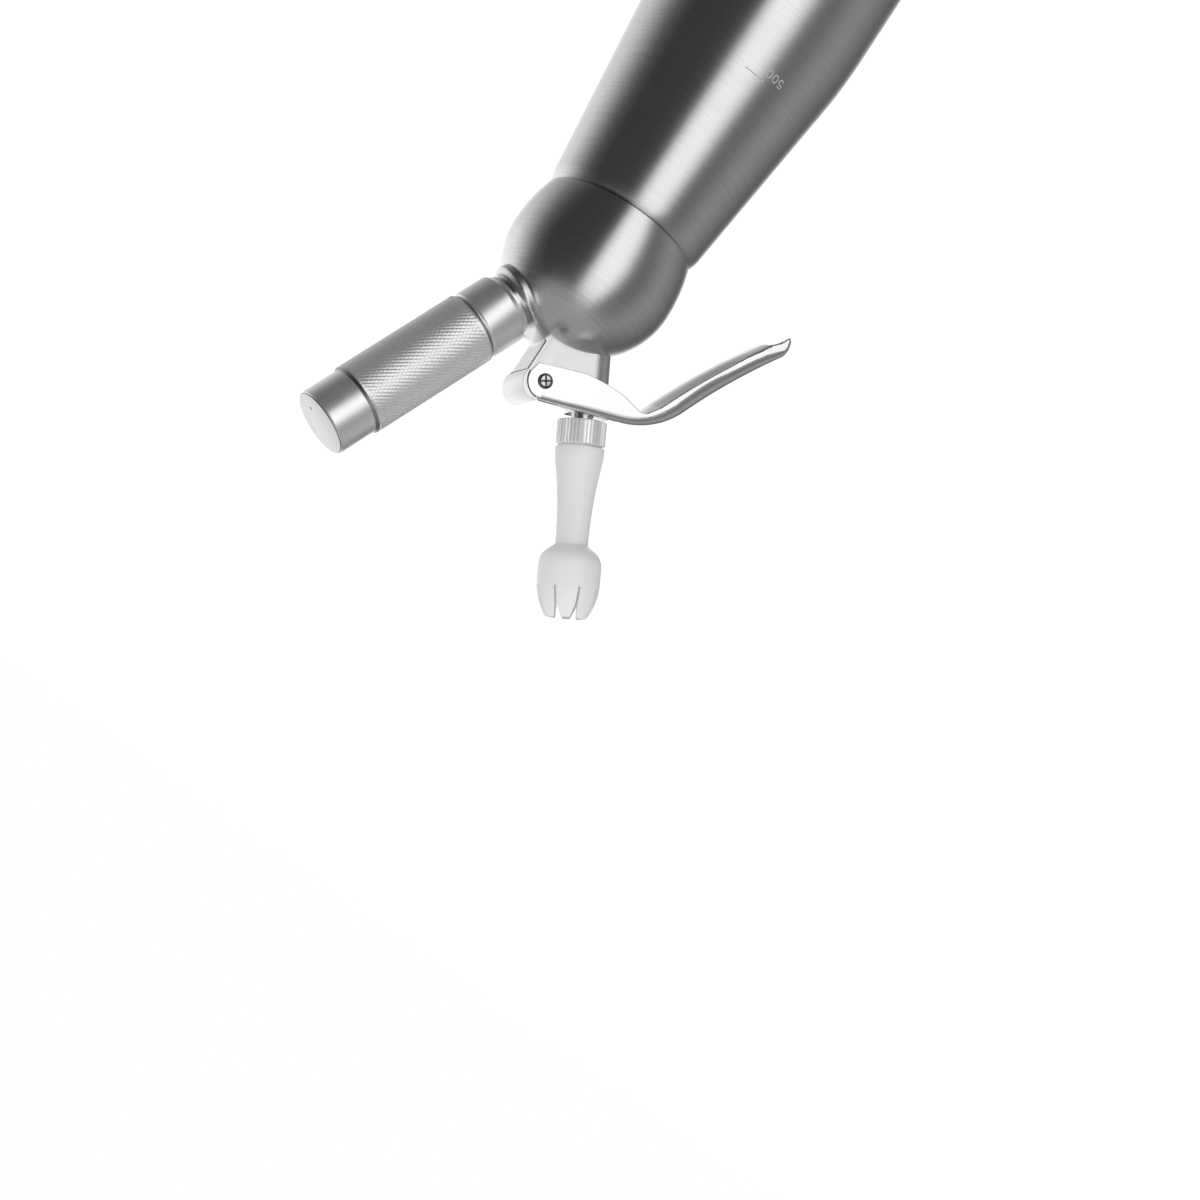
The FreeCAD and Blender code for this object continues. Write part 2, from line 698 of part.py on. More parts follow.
def lever():
    body = new_body("lever")
    side = draw(new_sketch(body, "lever_side", frame="lever"), [
        ("lever_front", "lever_back"),
        ("-bend_start", "lever_back"),
        ("-bend_end", "bend_end_rise", "bend_radius", "left"),
        ("-handle_end", "handle_end_rise", "handle_radius", "right"),
        ("-tip_corner", "-tip_corner_depth", "tip_outer_round", "left"),
        ("-tip_lip", "-tip_lip_depth", "tip_end_round", "left"),
        ("-handle_inner_end", "-handle_inner_depth", "tip_hook_round", "right"),
        ("-heel_end", "heel_rise", "handle_inner_radius", "left"),
        ("-heel_start", "heel_rise", "heel_round", "right"),
        ("-cheek_rise_start", "-cheek_rise_depth"),
        ("-cheek_edge_start", "-cheek_edge_depth", "cheek_edge_round", "left"),
        ("cheek_corner", "-cheek_corner_depth"),
        ("cheek_arc_start", "-sqrt(cheek_end_radius^2 - cheek_arc_start^2)"),
        ("lever_front", "sqrt(cheek_end_radius^2 - lever_front^2)", "cheek_end_radius", "left"),
    ])
    pad(body, side, "2 * lever_half_width")
    channel = draw(new_sketch(body, "lever_channel", frame="lever"), [
        ("lever_front", "2 * cheek_end_radius"),
        ("lever_front", "web_underside"),
        ("-channel_end + channel_corner_round", "web_underside"),
        ("-channel_end", "web_underside - channel_corner_round", "channel_corner_round", "left"),
        ("-channel_end", "-2 * cheek_end_radius"),
        ("2 * cheek_end_radius", "-2 * cheek_end_radius"),
        ("2 * cheek_end_radius", "2 * cheek_end_radius"),
    ])
    pocket(body, channel, "2 * lever_half_gap")
    press = draw_circle(new_sketch(body, "press_pads", frame="nozzle"), "0", "pad_height",
                        "pad_radius")
    pad(body, press, "2 * pad_half_length")
    slot = draw(new_sketch(body, "stud_slot", "XY_Plane", "nozzle"), [
        ("-slot_half_length", "-slot_half_width"), ("slot_half_length", "-slot_half_width"),
        ("slot_half_length", "slot_half_width"), ("-slot_half_length", "slot_half_width"),
    ])
    pocket(body, slot, "2 * stud_top", "Symmetric")
    hole = draw_circle(new_sketch(body, "pivot_holes"), "pivot_x", "pivot_height",
                       "pivot_radius + pivot_clearance")
    pocket(body, hole, "3 * lever_half_width")


# Dispensing valve

def valve_bush():
    turned_part("valve_bush", "nozzle", [
        ("bush_bore_radius", "valve_seat"), ("bush_radius", "valve_seat"),
        ("bush_radius", "bush_flange_bottom"), ("bush_flange_radius", "bush_flange_bottom"),
        ("bush_flange_radius", "bush_flange_top"), ("bush_radius", "bush_flange_top"),
        ("bush_radius", "spring_chamber_floor"), ("bush_bore_radius", "spring_chamber_floor"),
    ])


def spindle():
    body = turned_part("spindle", "nozzle", [
        ("0", "spindle_head_bottom"), ("spindle_head_radius", "spindle_head_bottom"),
        ("spindle_head_radius", "spindle_head_top"), ("spindle_radius", "spindle_head_top"),
        ("spindle_radius", "ring_groove_height - ring_groove_width / 2"),
        ("ring_groove_radius", "ring_groove_height - ring_groove_width / 2"),
        ("ring_groove_radius", "ring_groove_height + ring_groove_width / 2"),
        ("spindle_radius", "ring_groove_height + ring_groove_width / 2"),
        ("spindle_radius", "spindle_top"), ("spindle_bore_radius", "spindle_top"),
        ("spindle_bore_radius", "spindle_blind_end"), ("0", "spindle_blind_end"),
    ])
    for name, plane in (("ports_across", "XZ_Plane"), ("ports_along", "YZ_Plane")):
        port = draw_circle(new_sketch(body, name, plane), "0", "spindle_port_height",
                           "spindle_port_radius")
        pocket(body, port, "4 * spindle_radius")


def o_ring():
    middle = "spindle_radius - ring_section_radius"
    body = new_body("spindle_o_ring", "nozzle")
    section = new_sketch(body, "ring_section")
    revolve(body, draw_circle(section, middle, "ring_groove_height", "ring_section_radius"))


def spring():
    body = new_body("valve_spring", "nozzle")
    start = "spring_chamber_floor + spring_end_gap + spring_wire_radius"
    wire = draw_circle(new_sketch(body, "spring_wire"), "spring_radius", start,
                       "spring_wire_radius")
    coil = body.newObject("PartDesign::AdditiveHelix", "spring_coil")
    coil.Profile = wire
    coil.ReferenceAxis = (wire, ["V_Axis"])
    coil.Mode = "pitch-height-angle"
    bind(coil, "Height", "spring_height - 2 * spring_wire_radius")
    bind(coil, "Pitch", "(spring_height - 2 * spring_wire_radius) / spring_turns")
    doc.recompute()


def spindle_collar():
    turned_part("spindle_collar", "nozzle", [
        ("spindle_radius", "stud_flange_bottom"), ("stud_flange_radius", "stud_flange_bottom"),
        ("stud_flange_radius", "stud_flange_top"), ("stud_radius", "stud_flange_top"),
        ("stud_radius", "stud_top"), ("stud_bore_radius", "stud_top"),
        ("stud_bore_radius", "spindle_top"), ("spindle_radius", "spindle_top"),
    ])


def tip_adapter():
    body = turned_part("tip_adapter", "nozzle", [
        ("stud_radius + fit_gap", "adapter_bottom"),
        ("adapter_radius - adapter_edge", "adapter_bottom"),
        ("adapter_radius", "adapter_bottom + adapter_edge"),
        ("adapter_radius", "adapter_top - adapter_edge"),
        ("adapter_radius - adapter_edge", "adapter_top"),
        ("adapter_spigot_radius", "adapter_top"),
        ("adapter_spigot_radius", "adapter_spigot_top"),
        ("adapter_spigot_bore_radius", "adapter_spigot_top"),
        ("adapter_spigot_bore_radius", "adapter_floor_bottom + adapter_floor"),
        ("adapter_passage_radius", "adapter_floor_bottom + adapter_floor"),
        ("adapter_passage_radius", "adapter_floor_bottom"),
        ("stud_radius + fit_gap", "adapter_floor_bottom"),
    ])
    flute = draw(new_sketch(body, "flute", "XY_Plane", lift="adapter_bottom"), [
        ("adapter_radius - rib_depth", "0"),
        ("adapter_radius + rib_depth", "-2 * rib_half_width"),
        ("adapter_radius + rib_depth", "2 * rib_half_width"),
    ])
    cut = pocket(body, flute, "2 * adapter_height")
    repeat(body, cut, (flute, ["N_Axis"]), "rib_count")


def decorator_tip():
    low, high = "tip_base + tip_bulb_low_rise", "tip_base + tip_bulb_high_rise"
    body = turned_part("decorator_tip", "nozzle", [
        ("tip_socket_radius", "tip_base"),
        ("tip_foot_radius", "tip_base"),
        ("tip_shoulder_radius", "tip_base + tip_shoulder_rise"),
        ("tip_neck_radius", "tip_base + tip_neck_rise", "tip_waist_round", "right"),
        ("tip_neck_radius", "tip_base + tip_neck_rise + tip_neck_length"),
        ("tip_flare_radius", "tip_base + tip_flare_rise"),
        ("tip_bulb_radius", low, "tip_bulb_round", "left"),
        ("tip_bulb_radius", high),
        ("tip_mouth_radius", "tip_base + tip_length", "tip_petal_round", "left"),
        ("tip_mouth_radius - tip_wall", "tip_base + tip_length"),
        ("tip_bulb_radius - tip_wall", high, "tip_petal_round - tip_wall", "right"),
        ("tip_bulb_radius - tip_wall", low),
        ("tip_flare_radius - tip_flare_offset", "tip_base + tip_flare_rise + tip_flare_offset",
         "tip_bulb_round - tip_wall", "right"),
        ("tip_neck_radius - tip_wall",
         "tip_base + tip_neck_rise + tip_neck_length + tip_wall / 2"),
        ("tip_neck_radius - tip_wall", "tip_base + tip_neck_rise"),
        ("tip_socket_radius", "tip_base + tip_socket_depth"),
    ])
    top = "tip_base + tip_length"
    slit = draw(new_sketch(body, "petal_slit", "YZ_Plane"), [
        ("-tip_slit_half_width", f"{top} - tip_slit_length"),
        ("tip_slit_half_width", f"{top} - tip_slit_length"),
        ("tip_slit_half_width", f"{top} - tip_notch_length"),
        ("tip_notch_half_width", f"{top} + tip_wall"),
        ("-tip_notch_half_width", f"{top} + tip_wall"),
        ("-tip_slit_half_width", f"{top} - tip_notch_length"),
    ])
    cut = pocket(body, slit, "2 * tip_bulb_radius", "One side")
    repeat(body, cut, (origin_item(body, "Z_Axis"), [""]), "tip_slit_count")


# Gas inlet, charger and holder

def charger_spigot():
    turned_part("charger_spigot", "charger", [
        ("check_valve_pocket_radius", "spigot_shank_bottom"),
        ("spigot_shank_radius", "spigot_shank_bottom"),
        ("spigot_shank_radius", "inlet_boss_top"),
        ("spigot_collar_radius", "inlet_boss_top"),
        ("spigot_collar_radius", "spigot_collar_top"),
        ("spigot_thread_radius", "spigot_collar_top"),
        ("spigot_thread_radius", "spigot_top"),
        ("spigot_recess_radius", "spigot_top"),
        ("spigot_recess_radius", "spigot_recess_floor"),
        ("pin_body_radius", "spigot_recess_floor"),
        ("pin_body_radius", "pin_body_bottom"),
        ("spigot_channel_radius", "pin_body_bottom"),
        ("spigot_channel_radius", "check_pocket_top"),
        ("check_valve_pocket_radius", "check_pocket_top"),
    ])


def piercing_pin():
    turned_part("piercing_pin", "charger", [
        ("pin_bore_radius", "pin_body_bottom"),
        ("pin_body_radius", "pin_body_bottom"),
        ("pin_body_radius", "spigot_recess_floor"),
        ("pin_radius", "spigot_recess_floor"),
        ("pin_radius", "pin_top"),
        ("pin_bore_radius", "pin_top + pin_point"),
    ])


def gas_charger():
    turned_part("gas_charger", "charger", [
        ("cap_hole_radius", "charger_mouth"),
        ("charger_neck_radius - charger_nose_round", "charger_mouth"),
        ("charger_neck_radius", "charger_mouth + charger_nose_round",
         "charger_nose_round", "left"),
        ("charger_neck_radius", "charger_shoulder"),
        ("charger_radius", "charger_shoulder + charger_shoulder_length"),
        ("charger_radius", "charger_tail - charger_radius"),
        ("0", "charger_tail", "charger_radius", "left"),
        ("0", "charger_tail - charger_wall"),
        ("charger_bore_radius", "charger_tail - charger_radius", "charger_bore_radius", "right"),
        ("charger_bore_radius", "charger_shoulder + charger_shoulder_length"),
        ("charger_throat_radius", "charger_shoulder"),
        ("charger_throat_radius", "charger_mouth + charger_wall"),
        ("cap_hole_radius", "charger_mouth + charger_wall"),
    ])


def charger_holder():
    body = turned_part("charger_holder", "charger", [
        ("holder_thread_radius", "holder_bottom"),
        ("holder_mouth_radius", "holder_bottom"),
        ("holder_band_radius", "holder_bottom + holder_mouth_chamfer"),
        ("holder_band_radius", "holder_band_top"),
        ("holder_groove_radius", "holder_band_top + holder_groove_height"),
        ("holder_knurl_radius", "knurl_bottom"),
        ("holder_knurl_radius", "holder_knurl_top"),
        ("holder_end_radius", "end_band_bottom"),
        ("holder_end_radius", "holder_top - holder_end_edge"),
        ("holder_end_radius - holder_end_edge", "holder_top", "holder_end_edge", "left"),
        ("0", "holder_top"),
        ("0", "holder_floor"),
        ("holder_bore_radius", "holder_floor"),
        ("holder_bore_radius", "holder_thread_top"),
        ("holder_thread_radius", "holder_thread_top"),
    ])
    vent = draw_circle(new_sketch(body, "vent_hole", "XY_Plane"), "vent_offset", "0",
                       "vent_radius")
    pocket(body, vent, "2 * holder_top")


def small_rings():
    rim = "neck_radius - gasket_rim_gap"
    ring("head_gasket", "bottle", "gasket_bore_radius", rim, "neck_top", "ledge_height")
    ring("spindle_seal", "nozzle", "spindle_radius", "spindle_seal_radius",
         "spindle_head_top", "spindle_head_top + spindle_seal_thickness")
    ring("bush_washer", "nozzle", "bush_hole_radius", "bush_washer_radius",
         "bush_flange_top", "bush_flange_top + bush_washer_thickness")
    ring("tip_washer", "nozzle", "tip_socket_radius", "tip_washer_radius",
         "adapter_top", "tip_base")
    ring("pin_gasket", "charger", "cap_hole_radius", "pin_gasket_radius",
         "spigot_recess_floor", "spigot_recess_floor + pin_gasket_thickness")
    ring("inlet_nut", "charger", "shank_hole_radius", "inlet_nut_radius",
         "inlet_nut_top - inlet_nut_thickness", "inlet_nut_top")
    ring("check_valve", "charger", "check_valve_bore_radius", "check_valve_radius",
         "spigot_shank_bottom", "spigot_shank_bottom + check_valve_length")


def build():
    fill_sheet()
    bottle()
    head_shell()
    thread_collar()
    valve_body()
    pivot_screw()
    pivot_nut()
    lever()
    valve_bush()
    spindle()
    o_ring()
    spring()
    spindle_collar()
    tip_adapter()
    decorator_tip()
    charger_spigot()
    piercing_pin()
    gas_charger()
    charger_holder()
    small_rings()


def check_and_write():
    doc.recompute()
    for item in doc.Objects:
        if "Invalid" in item.State or "Error" in item.State:
            raise RuntimeError(f"{item.Name} failed: {item.State}")
    os.makedirs("parts", exist_ok=True)
    for item in doc.Objects:
        if item.TypeId != "PartDesign::Body":
            continue
        shape = item.Shape
        if shape.isNull() or not shape.isValid() or len(shape.Solids) != 1:
            raise RuntimeError(item.Label + " has no single valid solid")
        shape.exportStep(f"parts/{item.Label}.step")
        print(item.Label, round(shape.Volume, 1))


build()
check_and_write()
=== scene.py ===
import bpy
import bmesh
import math
from mathutils import Matrix, Vector


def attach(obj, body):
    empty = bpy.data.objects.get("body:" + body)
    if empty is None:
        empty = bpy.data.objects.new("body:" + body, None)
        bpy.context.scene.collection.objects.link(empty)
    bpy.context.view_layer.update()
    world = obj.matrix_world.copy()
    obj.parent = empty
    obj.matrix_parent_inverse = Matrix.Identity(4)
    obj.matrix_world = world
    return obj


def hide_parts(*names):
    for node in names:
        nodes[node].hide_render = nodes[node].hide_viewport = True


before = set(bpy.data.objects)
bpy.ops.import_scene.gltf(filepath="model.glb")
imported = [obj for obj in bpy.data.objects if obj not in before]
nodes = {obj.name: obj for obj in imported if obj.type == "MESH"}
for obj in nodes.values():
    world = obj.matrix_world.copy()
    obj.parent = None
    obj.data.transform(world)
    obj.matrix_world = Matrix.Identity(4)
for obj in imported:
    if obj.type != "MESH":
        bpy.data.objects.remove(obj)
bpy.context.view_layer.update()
mm = 0.001
turn = 2 * math.pi
print("frame loaded")

# Sizes in the dictionaries are millimetres and degrees, as on the drawing.
axes = {
    "bottle": {"root": 0, "tilt": 0},
    "nozzle": {"root": 184.6, "tilt": -29.08},
    "charger": {"root": 175.2, "tilt": 22.94},
}
leverPivot = {"x": -5.85, "z": 234.0, "slope": 22.5}


def axisPlace(axis):
    values = axes[axis]
    lean = Matrix.Rotation(math.radians(values["tilt"]), 4, "Y")
    return Matrix.Scale(mm, 4) @ Matrix.Translation((0, 0, values["root"])) @ lean


def leverPlace():
    lean = Matrix.Rotation(-math.radians(leverPivot["slope"]), 4, "Y")
    spot = Matrix.Translation((leverPivot["x"], 0, leverPivot["z"]))
    return Matrix.Scale(mm, 4) @ spot @ lean


cameraView = {
    "place": (0.27653, -1.11383, 0.57376),
    "right": (-0.765085, -0.374002, -0.523246),
    "up": (0.575659, -0.035547, -0.816315),
    "back": (0.286966, -0.926678, 0.242732),
    "lens": 103.04,
    "sensor": 36,
    "near": 0.01,
}


def makeCamera():
    data = bpy.data.cameras.new("studioCamera")
    data.lens = cameraView["lens"]
    data.sensor_width = cameraView["sensor"]
    data.clip_start = cameraView["near"]
    camera = bpy.data.objects.new("studioCamera", data)
    columns = [cameraView["right"], cameraView["up"], cameraView["back"]]
    turned = Matrix(columns).transposed().to_4x4()
    camera.matrix_world = Matrix.Translation(cameraView["place"]) @ turned
    bpy.context.scene.collection.objects.link(camera)
    bpy.context.scene.camera = camera


makeCamera()
bpy.context.scene.view_settings.view_transform = "Standard"


def newMaterial(name):
    material = bpy.data.materials.new(name)
    material.use_nodes = True
    material.node_tree.nodes.clear()
    return material, material.node_tree


def addNode(tree, kind, **settings):
    node = tree.nodes.new(kind)
    for key, value in settings.items():
        setattr(node, key, value)
    return node


def feed(tree, socket, value):
    if isinstance(value, bpy.types.NodeSocket):
        tree.links.new(value, socket)
    else:
        socket.default_value = value


def mathNode(tree, operation, *values):
    node = addNode(tree, "ShaderNodeMath", operation=operation)
    for socket, value in zip(node.inputs, values):
        feed(tree, socket, value)
    return node.outputs[0]


def mapRange(tree, value, fromLow, fromHigh, toLow, toHigh):
    node = addNode(tree, "ShaderNodeMapRange")
    for socket, item in zip(node.inputs, (value, fromLow, fromHigh, toLow, toHigh)):
        feed(tree, socket, item)
    return node.outputs[0]


def showsBackground(tree):
    # camera, glossy and transmission rays
    rays = addNode(tree, "ShaderNodeLightPath").outputs
    both = mathNode(tree, "MAXIMUM", rays["Is Camera Ray"], rays["Is Glossy Ray"])
    return mathNode(tree, "MAXIMUM", both, rays["Is Transmission Ray"])


studio = {
    "worldLevel": 0.78,
    "floorGlow": 0.62,
    "floorColour": (0.6, 0.6, 0.6, 1),
    "floorSize": 6.0,
    "wallRadius": 4.0,
    "wallSteps": (64, 32),
    "facing": -76.1,
    # the cards are drawn at 1/gain of their brightness and lit by gain
    "gain": 2,
    "overhead": 0.37,
    "overheadRise": (0.71, 0.87),
    "under": 0.08,
    "underRise": (-0.96, -0.84),
    "lowRise": (-0.62, -0.05),
    "highRise": (0.30, 0.62),
    # brightness around the object by degrees from the camera's side: below, level, above
    "cards": (
        (-180, 1.25, 1.25, 0.85), (-171, 1.20, 1.20, 0.75), (-164, 1.00, 1.00, 0.45),
        (-158, 0.45, 0.45, 0.28), (-150, 0.17, 0.17, 0.17), (-138, 0.13, 0.13, 0.15),
        (-114, 0.24, 0.24, 0.24), (-96, 0.31, 0.31, 0.29), (-82, 0.28, 0.28, 0.27),
        (-66, 0.18, 0.18, 0.20), (-54, 0.17, 0.17, 0.22), (-46, 0.28, 0.28, 0.30),
        (-36, 0.85, 0.85, 0.80), (-28, 1.18, 1.18, 1.10), (-10, 1.18, 1.18, 1.00),
        (-3, 0.85, 0.85, 0.70), (5, 0.12, 0.14, 0.30), (14, 0.06, 0.06, 0.10),
        (30, 0.05, 0.05, 0.05), (66, 0.045, 0.045, 0.045), (80, 0.07, 0.10, 0.07),
        (90, 0.11, 0.21, 0.08), (102, 0.15, 0.46, 0.10), (114, 0.22, 0.72, 0.14),
        (126, 0.26, 0.96, 0.35), (138, 0.26, 1.06, 0.60), (150, 0.30, 1.10, 0.75),
        (164, 0.75, 1.18, 0.85), (180, 1.25, 1.25, 0.85),
    ),
    "aim": (0, 0, 0.15),
    "lamps": {
        "keyLamp": {"place": (-0.9, -1.3, 1.2), "size": 1.2, "power": 11.0},
        "fillLamp": {"place": (1.3, -0.6, 0.9), "size": 1.4, "power": 5.0},
    },
}


def makeWorld():
    world = bpy.data.worlds.new("studioWorld")
    world.use_nodes = True
    tree = world.node_tree
    tree.nodes.clear()
    shown = showsBackground(tree)
    level = mapRange(tree, shown, 0, 1, studio["worldLevel"], 1)
    background = addNode(tree, "ShaderNodeBackground")
    background.inputs["Color"].default_value = (1, 1, 1, 1)
    feed(tree, background.inputs["Strength"], level)
    output = addNode(tree, "ShaderNodeOutputWorld")
    tree.links.new(background.outputs[0], output.inputs["Surface"])
    bpy.context.scene.world = world


def floorMaterial():
    material, tree = newMaterial("paleFloor")
    shown = showsBackground(tree)
    matt = addNode(tree, "ShaderNodeBsdfDiffuse")
    matt.inputs["Color"].default_value = studio["floorColour"]
    glow = addNode(tree, "ShaderNodeEmission")
    feed(tree, glow.inputs["Strength"], mathNode(tree, "MULTIPLY", shown, studio["floorGlow"]))
    both = addNode(tree, "ShaderNodeAddShader")
    tree.links.new(matt.outputs[0], both.inputs[0])
    tree.links.new(glow.outputs[0], both.inputs[1])
    output = addNode(tree, "ShaderNodeOutputMaterial")
    tree.links.new(both.outputs[0], output.inputs["Surface"])
    return material


def greyCard(brightness):
    share = brightness / studio["gain"]
    return (share, share, share, 1)


def cardRamp(tree, fac, column):
    ramp = addNode(tree, "ShaderNodeValToRGB")
    feed(tree, ramp.inputs["Fac"], fac)
    stops = ramp.color_ramp.elements
    for card in studio["cards"]:
        spot = (card[0] + 180) / 360
        stop = stops.new(spot) if 0 < spot < 1 else stops[0 if spot == 0 else len(stops) - 1]
        stop.color = greyCard(card[column])
    return ramp.outputs["Color"]


def mixColour(tree, factor, first, second):
    mix = addNode(tree, "ShaderNodeMix", data_type="RGBA")
    feed(tree, mix.inputs["Factor"], factor)
    feed(tree, mix.inputs["A"], first)
    feed(tree, mix.inputs["B"], second)
    return mix.outputs["Result"]


def wallMaterial():
    # soft lights and dark cards that only the metal reflects
    material, tree = newMaterial("studioCards")
    coords = addNode(tree, "ShaderNodeTexCoord").outputs["Object"]
    turned = addNode(tree, "ShaderNodeMapping")
    feed(tree, turned.inputs["Vector"], coords)
    turned.inputs["Rotation"].default_value = (0, 0, -math.radians(studio["facing"]))
    around = addNode(tree, "ShaderNodeTexGradient", gradient_type="RADIAL")
    feed(tree, around.inputs["Vector"], turned.outputs[0])
    low, level, high = (cardRamp(tree, around.outputs["Fac"], column) for column in (1, 2, 3))
    height = addNode(tree, "ShaderNodeSeparateXYZ")
    feed(tree, height.inputs[0], coords)
    rise = mathNode(tree, "DIVIDE", height.outputs["Z"], studio["wallRadius"])
    lift = mapRange(tree, rise, *studio["underRise"], 0, 1)
    low = mixColour(tree, lift, greyCard(studio["under"]), low)
    lift = mapRange(tree, rise, *studio["lowRise"], 0, 1)
    shade = mixColour(tree, lift, low, level)
    lift = mapRange(tree, rise, *studio["highRise"], 0, 1)
    shade = mixColour(tree, lift, shade, high)
    lift = mapRange(tree, rise, *studio["overheadRise"], 0, 1)
    shade = mixColour(tree, lift, shade, greyCard(studio["overhead"]))
    glow = addNode(tree, "ShaderNodeEmission")
    feed(tree, glow.inputs["Color"], shade)
    glow.inputs["Strength"].default_value = studio["gain"]
    output = addNode(tree, "ShaderNodeOutputMaterial")
    tree.links.new(glow.outputs[0], output.inputs["Surface"])
    return material


def stagePiece(bm, name, material):
    mesh = bpy.data.meshes.new(name)
    bm.to_mesh(mesh)
    bm.free()
    mesh.materials.append(material)
    piece = bpy.data.objects.new(name, mesh)
    bpy.context.scene.collection.objects.link(piece)
    return piece


def makeStudio():
    bm = bmesh.new()
    bmesh.ops.create_grid(bm, x_segments=1, y_segments=1, size=studio["floorSize"] / 2)
    floor = stagePiece(bm, "studioFloor", floorMaterial())
    floor.visible_glossy = False
    bm = bmesh.new()
    around, upward = studio["wallSteps"]
    bmesh.ops.create_uvsphere(bm, u_segments=around, v_segments=upward,
                              radius=studio["wallRadius"])
    wall = stagePiece(bm, "studioWall", wallMaterial())
    for ray in ("camera", "diffuse", "transmission", "shadow", "volume_scatter"):
        setattr(wall, "visible_" + ray, False)
    target = Vector(studio["aim"])
    for name, values in studio["lamps"].items():
        data = bpy.data.lights.new(name, "AREA")
        data.size = values["size"]
        data.energy = values["power"]
        lamp = bpy.data.objects.new(name, data)
        lamp.location = values["place"]
        aim = target - Vector(values["place"])
        lamp.rotation_euler = aim.to_track_quat("-Z", "Y").to_euler()
        lamp.visible_glossy = False
        bpy.context.scene.collection.objects.link(lamp)


makeWorld()
makeStudio()
print("studio ready")


def newGroup(name, inputs, outputs):
    group = bpy.data.node_groups.new(name, "ShaderNodeTree")
    for label, kind in inputs:
        group.interface.new_socket(label, in_out="INPUT", socket_type=kind)
    for label, kind in outputs:
        group.interface.new_socket(label, in_out="OUTPUT", socket_type=kind)
    start = group.nodes.new("NodeGroupInput")
    end = group.nodes.new("NodeGroupOutput")
    return group, start, end


grain = {
    "spread": 30.0,
    "detail": 3,
    "roughness": 0.7,
    "cloudScale": 60,
    "cloudDetail": 4,
    # the middle of the noise, and what is made of it
    "window": (0.3, 0.7),
    "roughSpread": (0.9, 1.1),
    "warmth": 0.995,
    "bumpDepth": 0.0002,
    "turned": 0.25,
}


def turnedGrain():
    # fine rings round the Z axis of the vector, and slow cloudy change
    group, start, end = newGroup(
        "turnedGrain",
        [("Vector", "NodeSocketVector"), ("Ring Scale", "NodeSocketFloat")],
        [("Rings", "NodeSocketFloat"), ("Clouds", "NodeSocketFloat")],
    )
    parts = addNode(group, "ShaderNodeSeparateXYZ")
    feed(group, parts.inputs[0], start.outputs["Vector"])
    joined = addNode(group, "ShaderNodeCombineXYZ")
    for side in ("X", "Y"):
        wide = mathNode(group, "MULTIPLY", parts.outputs[side], grain["spread"])
        feed(group, joined.inputs[side], wide)
    fine = mathNode(group, "MULTIPLY", parts.outputs["Z"], start.outputs["Ring Scale"])
    feed(group, joined.inputs["Z"], fine)
    rings = addNode(group, "ShaderNodeTexNoise")
    feed(group, rings.inputs["Vector"], joined.outputs[0])
    rings.inputs["Scale"].default_value = 1
    rings.inputs["Detail"].default_value = grain["detail"]
    rings.inputs["Roughness"].default_value = grain["roughness"]
    clouds = addNode(group, "ShaderNodeTexNoise")
    feed(group, clouds.inputs["Vector"], start.outputs["Vector"])
    clouds.inputs["Scale"].default_value = grain["cloudScale"]
    clouds.inputs["Detail"].default_value = grain["cloudDetail"]
    feed(group, end.inputs["Rings"], rings.outputs["Fac"])
    feed(group, end.inputs["Clouds"], clouds.outputs["Fac"])
    return group


grainGroup = turnedGrain()


def objectVector(tree, place):
    # object coordinates laid along the axis of a turned piece
    coords = addNode(tree, "ShaderNodeTexCoord").outputs["Object"]
    mapping = addNode(tree, "ShaderNodeMapping", vector_type="TEXTURE")
    feed(tree, mapping.inputs["Vector"], coords)
    mapping.inputs["Location"].default_value = (0, 0, place["root"] * mm)
    mapping.inputs["Rotation"].default_value = (0, math.radians(place["tilt"]), 0)
    return mapping.outputs[0], coords


def turnedTangent(tree, place, coords):
    lean = math.radians(place["tilt"])
    away = addNode(tree, "ShaderNodeVectorMath", operation="SUBTRACT")
    feed(tree, away.inputs[0], coords)
    away.inputs[1].default_value = (0, 0, place["root"] * mm)
    cross = addNode(tree, "ShaderNodeVectorMath", operation="CROSS_PRODUCT")
    cross.inputs[0].default_value = (math.sin(lean), 0, math.cos(lean))
    feed(tree, cross.inputs[1], away.outputs[0])
    change = addNode(tree, "ShaderNodeVectorTransform", vector_type="VECTOR")
    change.convert_from = "OBJECT"
    change.convert_to = "WORLD"
    feed(tree, change.inputs[0], cross.outputs[0])
    return change.outputs[0]


